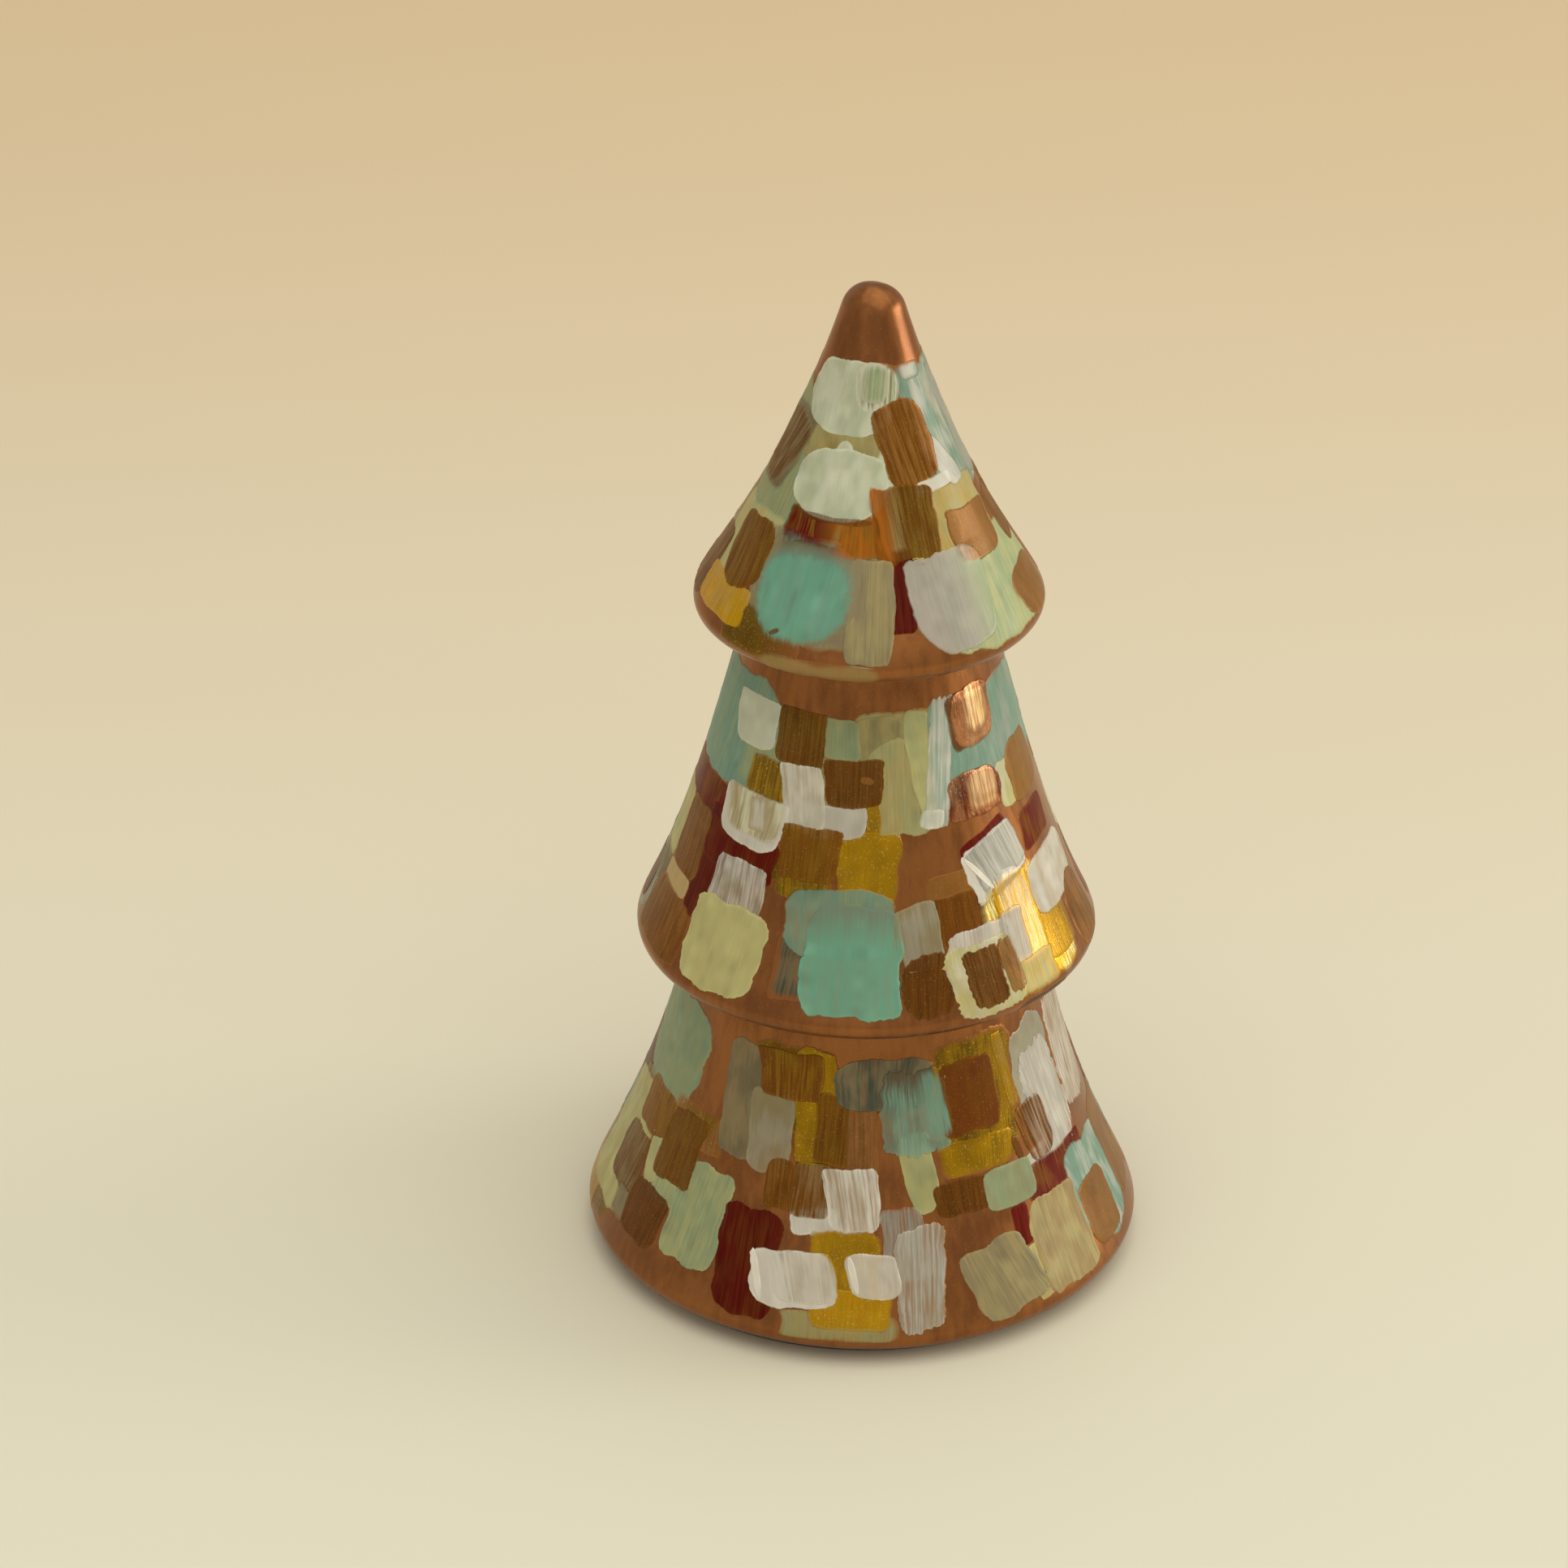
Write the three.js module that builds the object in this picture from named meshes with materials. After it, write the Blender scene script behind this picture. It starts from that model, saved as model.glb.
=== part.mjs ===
// Three-tier conifer in painted clay: three hollow cones, each with a spigot that sits in the neck of
// the cone below, luted together with slip, on a closed foot with a vent hole and a felt ring.
// Millimetres, +Z up. The origin is on the axis, at the surface that the felt rests on.

import * as THREE from 'three';

// Clay walls and the joints between the pieces
const WALL = 3;
const JOINT_GAP = 0.3;
const COLLAR_WALL = 3.4;
const SPIGOT_WALL = 2.5;
const BEAD = 1.6;
const BEAD_HOLLOW = 0.35;

// The skirt of a tier: the rounding of its rim, and how far its underside dips towards the neck
const RIM_ROUNDING = 2;
const UNDERSIDE_DIP = 0.6;

// Each tier stands on its own seat. Its flare leaves the rim upright and meets the neck at an angle from
// the axis, and the two runs say which share of the flare's height each end keeps its direction for.
const TOP_TIER = {
  height: 41.7,
  rimRadius: 20.4,
  rimRun: 0.065,
  tipRun: 0.65,
};
const TIP_RADIUS = 3.7;
const TIP_ANGLE = THREE.MathUtils.degToRad(17.2);
const TIP_SOLID = 16;

const MIDDLE_TIER = {
  height: 42.8,
  rimRadius: 27.5,
  neckRadius: 14.4,
  neckAngle: THREE.MathUtils.degToRad(13.5),
  rimRun: 0.035,
  neckRun: 0.8,
  collarDepth: 5,
};

const BOTTOM_TIER = {
  height: 38.4,
  rimRadius: 33.4,
  neckRadius: 21.2,
  neckAngle: THREE.MathUtils.degToRad(11.1),
  rimRun: 0.055,
  neckRun: 0.62,
  collarDepth: 6,
};

// The closed foot and its felt ring
const FOOT_WALL = 4.5;
const DISC_THICKNESS = 3.5;
const VENT_RADIUS = 6;
const FOOT_BEAD = 2.5;
const FELT_THICKNESS = 1.2;
const FELT_INSET = 1;
const FELT_HOLE_RADIUS = 9;

// Facets in a full turn, along a flare and around a rounding
const AROUND = 40;
const FLARE_STEPS = 12;
const ROUND_STEPS = 5;

// Heights of the seats, from the felt up
const FOOT_LEVEL = FELT_THICKNESS + JOINT_GAP;
const MIDDLE_SEAT = FOOT_LEVEL + BOTTOM_TIER.height + JOINT_GAP;
const TOP_SEAT = MIDDLE_SEAT + MIDDLE_TIER.height + JOINT_GAP;

const COPPER = { color: 0x824b2d, roughness: 0.35, metalness: 0.8 };
const BARE_CLAY = { color: 0xb98b66, roughness: 0.9, metalness: 0 };
const DARK_FELT = { color: 0x2b2420, roughness: 1, metalness: 0 };

const point = (radius, height) => new THREE.Vector2(radius, height);

// A turned piece: the profile runs up on the outside and down on the inside.
function turned(name, profile, look, level) {
  const geometry = new THREE.LatheGeometry(profile, AROUND);
  const mesh = new THREE.Mesh(geometry, new THREE.MeshStandardMaterial(look));
  mesh.name = name;
  mesh.rotation.x = Math.PI / 2;
  mesh.position.z = level;
  return mesh;
}

const closedProfile = (points) => [...points, points[0]];

const socketRadius = (tier) => tier.neckRadius - COLLAR_WALL;
const spigotRadius = (tierBelow) => socketRadius(tierBelow) - JOINT_GAP;

// A quarter round, from its lowest point out to its widest.
function quarterRound(widest, lowest, radius) {
  const curve = new THREE.EllipseCurve(widest - radius, lowest + radius, radius, radius, -Math.PI / 2, 0);
  return curve.getPoints(ROUND_STEPS);
}

// The outer flare from the widest point of the rim up to an end that slopes in by the given angle.
function flareCurve(rimRadius, rimLevel, end, endAngle, rimRun, endRun) {
  const rise = end.y - rimLevel;
  const reach = rise * endRun;
  return new THREE.CubicBezierCurve(
    point(rimRadius, rimLevel),
    point(rimRadius, rimLevel + rise * rimRun),
    point(end.x + reach * Math.tan(endAngle), end.y - reach),
    end,
  );
}

// The hollow's wall, from the top down: the flare moved in by the wall, kept between two levels.
function hollowLine(flare, floor, ceiling) {
  const line = [];
  for (let step = FLARE_STEPS; step >= 0; step -= 1) {
    const share = step / FLARE_STEPS;
    const along = flare.getTangent(share);
    const inner = flare.getPoint(share).addScaledVector(point(-along.y, along.x), WALL);
    if (inner.y > floor && inner.y < ceiling) line.push(inner);
  }
  return [point(line[0].x, ceiling), ...line, point(line.at(-1).x, floor)];
}

// The floor of a skirt's hollow, the spigot below it and the underside, out to the rim's lowest point.
function spigotAndUnderside(rimRadius, tierBelow) {
  const outer = spigotRadius(tierBelow);
  const inner = outer - SPIGOT_WALL;
  const length = tierBelow.collarDepth - JOINT_GAP;
  return [
    point(inner, WALL + UNDERSIDE_DIP),
    point(inner, -length),
    point(outer, -length),
    point(outer, 0),
    point(tierBelow.neckRadius, 0),
    ...quarterRound(rimRadius, UNDERSIDE_DIP, RIM_ROUNDING),
  ];
}

function neckCollar(tier) {
  return [
    point(socketRadius(tier), tier.height),
    point(socketRadius(tier), tier.height - tier.collarDepth),
  ];
}

function topTier() {
  const { height, rimRadius, rimRun, tipRun } = TOP_TIER;
  const domeCurve = new THREE.EllipseCurve(
    0, height - TIP_RADIUS, TIP_RADIUS, TIP_RADIUS, TIP_ANGLE, Math.PI / 2,
  );
  const dome = domeCurve.getPoints(ROUND_STEPS);
  const rimLevel = UNDERSIDE_DIP + RIM_ROUNDING;
  const flare = flareCurve(rimRadius, rimLevel, dome[0], TIP_ANGLE, rimRun, tipRun);
  const hollow = hollowLine(flare, WALL + UNDERSIDE_DIP, height - TIP_SOLID);
  const hollowTop = point(0, hollow[0].y + hollow[0].x / 2);
  return turned('top_tier', [
    hollowTop,
    ...hollow,
    ...spigotAndUnderside(rimRadius, MIDDLE_TIER),
    ...flare.getPoints(FLARE_STEPS).slice(1),
    ...dome.slice(1, -1),
    point(0, height),
  ], COPPER, TOP_SEAT);
}

function middleTier() {
  const { height, rimRadius, neckRadius, neckAngle, rimRun, neckRun, collarDepth } = MIDDLE_TIER;
  const rimLevel = UNDERSIDE_DIP + RIM_ROUNDING;
  const flare = flareCurve(rimRadius, rimLevel, point(neckRadius, height), neckAngle, rimRun, neckRun);
  return turned('middle_tier', closedProfile([
    ...neckCollar(MIDDLE_TIER),
    ...hollowLine(flare, WALL + UNDERSIDE_DIP, height - collarDepth),
    ...spigotAndUnderside(rimRadius, BOTTOM_TIER),
    ...flare.getPoints(FLARE_STEPS).slice(1),
  ]), COPPER, MIDDLE_SEAT);
}

// The foot's seat is a straight bore that holds the disc and the bead above it.
const seatRadius = BOTTOM_TIER.rimRadius - FOOT_WALL;
const seatDepth = DISC_THICKNESS + FOOT_BEAD + 2 * JOINT_GAP;

function bottomTier() {
  const { height, rimRadius, neckRadius, neckAngle, rimRun, neckRun, collarDepth } = BOTTOM_TIER;
  const flare = flareCurve(rimRadius, RIM_ROUNDING, point(neckRadius, height), neckAngle, rimRun, neckRun);
  return turned('bottom_tier', closedProfile([
    ...neckCollar(BOTTOM_TIER),
    ...hollowLine(flare, seatDepth, height - collarDepth),
    point(seatRadius, seatDepth),
    point(seatRadius, 0),
    ...quarterRound(rimRadius, 0, RIM_ROUNDING),
    ...flare.getPoints(FLARE_STEPS).slice(1),
  ]), COPPER, FOOT_LEVEL);
}

// A bead of slip in a corner: two legs and a hollow face between their ends.
function beadProfile(corner, uprightEnd, flatEnd) {
  const hollow = point(
    corner.x + BEAD_HOLLOW * (flatEnd.x - corner.x),
    corner.y + BEAD_HOLLOW * (uprightEnd.y - corner.y),
  );
  const face = new THREE.QuadraticBezierCurve(uprightEnd, hollow, flatEnd).getPoints(ROUND_STEPS);
  return [corner, ...face];
}

// The bead around a neck, under the skirt of the tier above.
function creaseBead(name, tierBelow, seatLevel) {
  const corner = point(tierBelow.neckRadius + JOINT_GAP, -JOINT_GAP);
  const upright = point(corner.x + BEAD * Math.tan(tierBelow.neckAngle), corner.y - BEAD);
  const flat = point(corner.x + BEAD, corner.y);
  return turned(name, closedProfile(beadProfile(corner, upright, flat)), COPPER, seatLevel);
}

function baseDisc() {
  const radius = seatRadius - JOINT_GAP;
  return turned('base_disc', closedProfile([
    point(VENT_RADIUS, DISC_THICKNESS),
    point(VENT_RADIUS, 0),
    point(radius, 0),
    point(radius, DISC_THICKNESS),
  ]), BARE_CLAY, FOOT_LEVEL);
}

function baseBead() {
  const corner = point(seatRadius - JOINT_GAP, 0);
  const upright = point(corner.x, FOOT_BEAD);
  const flat = point(corner.x - FOOT_BEAD, 0);
  const level = FOOT_LEVEL + DISC_THICKNESS + JOINT_GAP;
  return turned('base_luting_ring', closedProfile(beadProfile(corner, upright, flat)), BARE_CLAY, level);
}

function feltPad() {
  const radius = BOTTOM_TIER.rimRadius - RIM_ROUNDING - FELT_INSET;
  return turned('felt_pad', closedProfile([
    point(FELT_HOLE_RADIUS, FELT_THICKNESS),
    point(FELT_HOLE_RADIUS, 0),
    point(radius, 0),
    point(radius, FELT_THICKNESS),
  ]), DARK_FELT, 0);
}

const conifer = new THREE.Group();
conifer.add(
  topTier(),
  middleTier(),
  bottomTier(),
  creaseBead('upper_luting_ring', MIDDLE_TIER, TOP_SEAT),
  creaseBead('lower_luting_ring', BOTTOM_TIER, MIDDLE_SEAT),
  baseDisc(),
  baseBead(),
  feltPad(),
);

export default conifer;
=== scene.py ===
"""A three-tier conifer in painted clay: turned shells under a copper coat, with brushed dabs laid over it."""
import logging
import math
from dataclasses import dataclass, field
from enum import Enum

import bpy
import numpy as np
from mathutils import Matrix, Vector


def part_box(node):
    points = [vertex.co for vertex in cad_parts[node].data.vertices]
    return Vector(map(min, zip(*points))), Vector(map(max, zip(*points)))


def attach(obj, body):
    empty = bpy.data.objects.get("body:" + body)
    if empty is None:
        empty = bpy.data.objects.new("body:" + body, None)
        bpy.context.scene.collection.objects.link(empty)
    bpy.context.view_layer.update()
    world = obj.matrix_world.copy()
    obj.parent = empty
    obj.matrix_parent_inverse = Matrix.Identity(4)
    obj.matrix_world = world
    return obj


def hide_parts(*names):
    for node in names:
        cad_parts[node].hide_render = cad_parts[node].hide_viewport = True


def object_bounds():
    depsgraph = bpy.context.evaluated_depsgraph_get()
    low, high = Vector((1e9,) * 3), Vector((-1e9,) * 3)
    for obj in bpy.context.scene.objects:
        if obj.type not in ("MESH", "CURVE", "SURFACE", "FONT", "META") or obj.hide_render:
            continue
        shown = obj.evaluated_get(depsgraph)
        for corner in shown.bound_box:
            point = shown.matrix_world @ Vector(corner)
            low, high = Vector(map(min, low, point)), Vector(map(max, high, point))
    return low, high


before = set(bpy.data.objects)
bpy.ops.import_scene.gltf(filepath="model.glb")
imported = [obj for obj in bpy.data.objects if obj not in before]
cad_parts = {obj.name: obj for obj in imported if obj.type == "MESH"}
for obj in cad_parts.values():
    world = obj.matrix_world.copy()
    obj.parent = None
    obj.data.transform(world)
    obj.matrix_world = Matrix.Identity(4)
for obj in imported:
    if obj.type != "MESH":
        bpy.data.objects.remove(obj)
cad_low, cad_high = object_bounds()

log = logging.getLogger("conifer")
MM = 0.001
BODY = "root"
Colour = tuple[float, float, float]
Socket = bpy.types.NodeSocket


# ---- Colours and finishes ----

def linear(red: float, green: float, blue: float) -> Colour:
    """Turns a colour given on a 0 to 255 scale into linear light.

    Args:
        red, green, blue: the colour as it looks on a screen.

    Returns:
        The same colour as three shader values.
    """
    shares = np.array([red, green, blue]) / 255.0
    low = shares / 12.92
    high = ((shares + 0.055) / 1.055) ** 2.4
    return tuple(float(v) for v in np.where(shares <= 0.04045, low, high))


class Family(Enum):
    """The kinds of paint in the box, which differ in gloss and metal."""

    PASTEL = "pastel"
    PEARL = "pearl"
    METAL = "metal"
    BRONZE = "bronze"
    GLAZE = "glaze"


class Paint(Enum):
    """Each pot of paint: its family and its colour."""

    MINT = (Family.PASTEL, linear(115, 148, 128))
    TURQUOISE = (Family.PASTEL, linear(110, 166, 138))
    SAGE = (Family.PASTEL, linear(147, 159, 118))
    IVORY = (Family.PASTEL, linear(202, 204, 176))
    WHITE = (Family.PASTEL, linear(205, 199, 184))
    CREAM = (Family.PASTEL, linear(186, 180, 121))
    BUFF = (Family.PASTEL, linear(164, 139, 91))
    KHAKI = (Family.PASTEL, linear(168, 154, 99))
    STONE = (Family.PASTEL, linear(141, 128, 93))
    SLATE = (Family.PASTEL, linear(71, 77, 63))
    SILVER = (Family.PEARL, linear(160, 158, 146))
    LAVENDER = (Family.PEARL, linear(185, 177, 160))
    GOLD = (Family.METAL, linear(182, 137, 6))
    OLIVE = (Family.METAL, linear(118, 88, 9))
    BROWN = (Family.BRONZE, linear(109, 65, 4))
    UMBER = (Family.BRONZE, linear(99, 56, 5))
    TAN = (Family.BRONZE, linear(145, 97, 42))
    # A pale gold-white metal paint, laid only where the copper and gold catch the light: painted highlight.
    PAINTED_GLINT = (Family.METAL, linear(236, 204, 150))
    COPPER = (Family.METAL, linear(170, 112, 72))
    OXBLOOD = (Family.GLAZE, linear(88, 10, 0))
    AMBER = (Family.GLAZE, linear(170, 96, 14))

    @property
    def family(self) -> Family:
        """The kind of paint this is."""
        return self.value[0]

    @property
    def colour(self) -> Colour:
        """The paint's colour in linear light."""
        return self.value[1]


@dataclass(frozen=True)
class FamilyFinish:
    """How a family of paint takes the light once it is dry and varnished."""

    metal: float
    roughness: float
    grain: float
    flake: float
    streaky: float
    gloss: float
    ridges: float


FINISHES: dict[Family, FamilyFinish] = {
    # metal, roughness, grain, flake, streaky, gloss, ridges
    Family.PASTEL: FamilyFinish(0.0, 0.46, 0.10, 0.0, 0.35, 0.1, 0.35),
    Family.PEARL: FamilyFinish(0.2, 0.38, 0.11, 0.08, 0.5, 0.12, 0.45),
    Family.METAL: FamilyFinish(0.75, 0.30, 0.14, 0.35, 0.45, 0.1, 1.6),
    Family.BRONZE: FamilyFinish(0.35, 0.40, 0.16, 0.10, 0.6, 0.09, 0.5),
    Family.GLAZE: FamilyFinish(0.05, 0.34, 0.22, 0.0, 0.3, 0.06, 0.3),
}
BASE_COAT = linear(152, 95, 47)
BASE_COAT_METAL = 0.75


class Graph:
    """A material's node tree, with short calls for adding nodes and joining them."""

    def __init__(self, name: str) -> None:
        """Starts a material that holds only its Principled shader and its output."""
        self.material = bpy.data.materials.new(name)
        self.material.use_nodes = True
        self.tree = self.material.node_tree
        self.shader = self.tree.nodes["Principled BSDF"]

    def put(self, node: bpy.types.Node, inputs: dict[str | int, object]) -> bpy.types.Node:
        """Joins or sets a node's inputs.

        Args:
            node: the node whose inputs are set.
            inputs: socket name or number, to another node's output or a plain value.

        Returns:
            The same node.
        """
        for name, value in inputs.items():
            if isinstance(value, Socket):
                self.tree.links.new(value, node.inputs[name])
            else:
                node.inputs[name].default_value = value
        return node

    def add(self, kind: str, inputs: dict[str | int, object] | None = None,
            **settings: object) -> bpy.types.Node:
        """Adds a node.

        Args:
            kind: the node's type, without its ShaderNode prefix.
            inputs: as put takes them.
            settings: the node's own settings, such as operation.

        Returns:
            The new node.
        """
        node = self.tree.nodes.new("ShaderNode" + kind)
        for name, value in settings.items():
            setattr(node, name, value)
        return self.put(node, inputs or {})

    def attribute(self, name: str) -> bpy.types.Node:
        """A node that reads one of the mesh's own attributes."""
        return self.add("Attribute", attribute_name=name)

    def place_on_piece(self) -> Socket:
        """Where a point is on the piece, in metres."""
        return self.add("TexCoord").outputs["Object"]

    def stretch(self, source: Socket, scale: tuple[float, float, float]) -> Socket:
        """Stretches coordinates by a scale in each direction."""
        return self.add("Mapping", {"Vector": source, "Scale": scale}).outputs["Vector"]

    def noise(self, where: Socket, scale: float, detail: float, rough: float = 0.5) -> Socket:
        """Smooth random values from 0 to 1."""
        sockets = {"Vector": where, "Scale": scale, "Detail": detail, "Roughness": rough}
        return self.add("TexNoise", sockets).outputs["Fac"]

    def ramp(self, value: Socket, low: float, high: float, out_low: float = 0.0,
             out_high: float = 1.0) -> Socket:
        """Turns the range low to high into out_low to out_high, with soft ends."""
        sockets = {"Value": value, "From Min": low, "From Max": high, "To Min": out_low, "To Max": out_high}
        return self.add("MapRange", sockets, interpolation_type="SMOOTHSTEP").outputs["Result"]

    def maths(self, operation: str, *values: object) -> Socket:
        """One arithmetic step on sockets or plain numbers."""
        return self.add("Math", dict(enumerate(values)), operation=operation).outputs["Value"]

    def mix(self, share: object, first: object, second: object, blend: str = "MIX") -> Socket:
        """Mixes two colours.

        Args:
            share: how much of the second, from 0 to 1.
            first, second: sockets or colours.
            blend: the way of mixing.

        Returns:
            The mixed colour's socket.
        """
        node = self.add("Mix", data_type="RGBA", blend_type=blend)
        pairs = ((0, share), (6, first), (7, second))
        self.put(node, {index: padded_colour(value) for index, value in pairs})
        return node.outputs[2]

    def between(self, share: object, first: object, second: object) -> Socket:
        """A number part of the way from the first to the second."""
        return self.add("Mix", {0: share, 2: first, 3: second}, data_type="FLOAT").outputs[0]

    def bump(self, height: Socket, strength: float, depth: float) -> None:
        """Raises fine relief on the shader.

        Args:
            height: the relief, from 0 to 1.
            strength: how much of it shows.
            depth: the relief's height in metres.
        """
        node = self.add("Bump", {"Height": height, "Strength": strength, "Distance": depth})
        self.put(self.shader, {"Normal": node.outputs["Normal"]})


def padded_colour(value: object) -> object:
    """Gives a three-part colour its fourth part, and leaves anything else alone."""
    return (*value, 1.0) if isinstance(value, tuple) and len(value) == 3 else value


@dataclass(frozen=True)
class Varnish:
    """The clear gloss coat over every painted surface."""

    weight: float = 0.15
    roughness: float = 0.2

    def brush_on(self, graph: Graph) -> None:
        """Sets the shader's coat."""
        graph.put(graph.shader, {
            "Coat Weight": self.weight, "Coat Roughness": self.roughness, "Specular IOR Level": self.weight,
        })


class Finish:
    """A finish that dresses a material of its own."""

    name: str

    def build(self) -> bpy.types.Material:
        """Makes the material and has the finish add its nodes.

        Returns:
            The dressed material.
        """
        graph = Graph(self.name)
        self.dress(graph)
        return graph.material

    def dress(self, graph: Graph) -> None:
        """Adds the finish's nodes: each finish has its own way."""
        raise NotImplementedError


@dataclass(frozen=True)
class CopperCoat(Finish):
    """The copper base coat: metal paint brushed down the tier, darker where the brush lifted it thin."""

    name: str = "copper_base_coat"
    bright: Colour = BASE_COAT
    worn: Colour = linear(126, 76, 36)
    flake: Colour = linear(214, 156, 108)
    brush_grain: float = 900.0
    cloud_grain: float = 110.0
    flake_grain: float = 5200.0
    cloud_share: float = 0.55
    brush_depth: float = 0.00003
    varnish: Varnish = Varnish()

    def dress(self, graph: Graph) -> None:
        """Adds worn patches, made of brush marks and clouds, and metal flakes over them.

        Args:
            graph: the material's nodes.
        """
        where = graph.place_on_piece()
        brushed = graph.noise(graph.stretch(where, (1.0, 1.0, 0.06)), self.brush_grain, 3.0)
        cloudy = graph.noise(where, self.cloud_grain, 3.0)
        patches = graph.maths("ADD", graph.maths("MULTIPLY", brushed, 1 - self.cloud_share),
                              graph.maths("MULTIPLY", cloudy, self.cloud_share))
        colour = graph.mix(graph.ramp(patches, 0.36, 0.62), self.worn, self.bright)
        flakes = graph.noise(where, self.flake_grain, 1.0)
        graph.put(graph.shader, {
            "Base Color": graph.mix(graph.ramp(flakes, 0.62, 0.82, 0.0, 0.25), colour, self.flake),
            "Metallic": graph.ramp(patches, 0.3, 0.7, 0.68, 0.84),
            "Roughness": graph.ramp(brushed, 0.3, 0.7, 0.27, 0.36),
        })
        graph.bump(brushed, 0.25, self.brush_depth)
        self.varnish.brush_on(graph)


@dataclass(frozen=True)
class DabPaint(Finish):
    """Brushed paint: streaks along the stroke, a second colour in the brush, and gaps where it ran dry."""

    family: Family
    flake: Colour = linear(255, 226, 150)
    flake_grain: float = 4300.0
    ridge_depth: float = 0.00004

    @property
    def name(self) -> str:
        """The material's name."""
        return self.family.value + "_paint"

    def dress(self, graph: Graph) -> None:
        """Adds nodes that read the stroke's own map and the colours stored on each dab.

        The pigment takes in some of the brush's load and is streaked by the bristles. It hides what is
        beneath as far as its alpha says, less the gaps that the bristles leave in dry paint.

        Args:
            graph: the material's nodes.
        """
        finish = FINISHES[self.family]
        stroke = graph.add("UVMap", uv_map="stroke").outputs["UV"]
        pigment = graph.attribute("pigment")
        load = graph.attribute("brush_load")
        beneath = graph.attribute("beneath")
        dryness = graph.attribute("dryness").outputs["Fac"]

        bristles = graph.noise(graph.stretch(stroke, (3.0, 0.12, 1.0)), 1.0, 3.0, 0.6)
        clouds = graph.noise(graph.stretch(stroke, (0.40, 0.20, 1.0)), 1.0, 2.0)
        blend = graph.between(finish.streaky, clouds, bristles)
        second = graph.maths("MULTIPLY", graph.ramp(blend, 0.42, 0.60), load.outputs["Alpha"])
        body = graph.mix(second, pigment.outputs["Color"], load.outputs["Color"])
        shade = graph.ramp(bristles, 0.25, 0.75, 1.0 - finish.grain, 1.0 + finish.grain)
        grey = graph.add("CombineColor", {0: shade, 1: shade, 2: shade}).outputs[0]
        body = graph.mix(1.0, body, grey, "MULTIPLY")
        if finish.flake:
            flakes = graph.noise(graph.place_on_piece(), self.flake_grain, 1.0)
            body = graph.mix(graph.ramp(flakes, 0.58, 0.82, 0.0, finish.flake), body, self.flake)

        gaps = graph.maths("MULTIPLY", graph.ramp(bristles, 0.38, 0.64), dryness)
        wet = graph.maths("MULTIPLY", pigment.outputs["Alpha"], graph.maths("ADD", dryness, 1.0))
        broken = graph.add("Clamp", {0: graph.maths("SUBTRACT", wet, gaps)}).outputs[0]
        opaque = graph.maths("MULTIPLY", broken, graph.maths("MULTIPLY_ADD", gaps, -0.6, 1.0))
        graph.put(graph.shader, {
            "Base Color": graph.mix(opaque, beneath.outputs["Color"], body),
            "Metallic": graph.between(opaque, beneath.outputs["Alpha"], finish.metal),
            "Roughness": graph.ramp(bristles, 0.2, 0.8, finish.roughness - 0.05, finish.roughness + 0.06),
        })
        graph.bump(bristles, finish.ridges, self.ridge_depth)
        Varnish(finish.gloss).brush_on(graph)


@dataclass(frozen=True)
class BareClay(Finish):
    """Fired clay left unpainted: fine grog, a little iron speckle and faint turning lines."""

    name: str = "bare_clay"
    pale: Colour = linear(206, 164, 128)
    dark: Colour = linear(160, 112, 80)
    iron: Colour = linear(96, 58, 40)
    relief: float = 0.00015

    def dress(self, graph: Graph) -> None:
        """Adds clouds of tone, speckles, and relief from the grog and the turning lines.

        Args:
            graph: the material's nodes.
        """
        where = graph.place_on_piece()
        clouds = graph.noise(where, 140.0, 4.0)
        grog = graph.noise(where, 2600.0, 2.0)
        rings = graph.noise(graph.stretch(where, (0.05, 0.05, 1.0)), 1500.0, 2.0)
        colour = graph.mix(graph.ramp(clouds, 0.35, 0.65), self.pale, self.dark)
        graph.put(graph.shader, {
            "Base Color": graph.mix(graph.ramp(grog, 0.66, 0.74, 0.0, 0.6), colour, self.iron),
            "Roughness": graph.ramp(grog, 0.3, 0.7, 0.82, 0.95),
        })
        graph.bump(graph.maths("ADD", rings, graph.maths("MULTIPLY", grog, 0.7)), 0.6, self.relief)


@dataclass(frozen=True)
class PressedFelt(Finish):
    """Dark pressed felt: tangled fibres, lint and a soft sheen."""

    name: str = "pressed_felt"
    deep: Colour = linear(44, 38, 34)
    lint: Colour = linear(96, 86, 76)
    fibre_grain: float = 3400.0
    nap: float = 0.00025

    def dress(self, graph: Graph) -> None:
        """Adds a tangle of fibres that run two ways, with lint where they stand up.

        Args:
            graph: the material's nodes.
        """
        where = graph.place_on_piece()
        fibres, crossed = (graph.noise(graph.stretch(where, run), self.fibre_grain, 4.0, 0.7)
                           for run in ((1.0, 0.25, 1.0), (0.25, 1.0, 1.0)))
        tangle = graph.maths("MAXIMUM", fibres, crossed)
        colour = graph.mix(graph.ramp(tangle, 0.50, 0.78), self.deep, self.lint)
        graph.put(graph.shader, {"Base Color": colour, "Roughness": 0.95, "Sheen Weight": 0.35,
                                 "Sheen Roughness": 0.5})
        graph.bump(tangle, 0.8, self.nap)


# ---- Meshes ----

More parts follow.
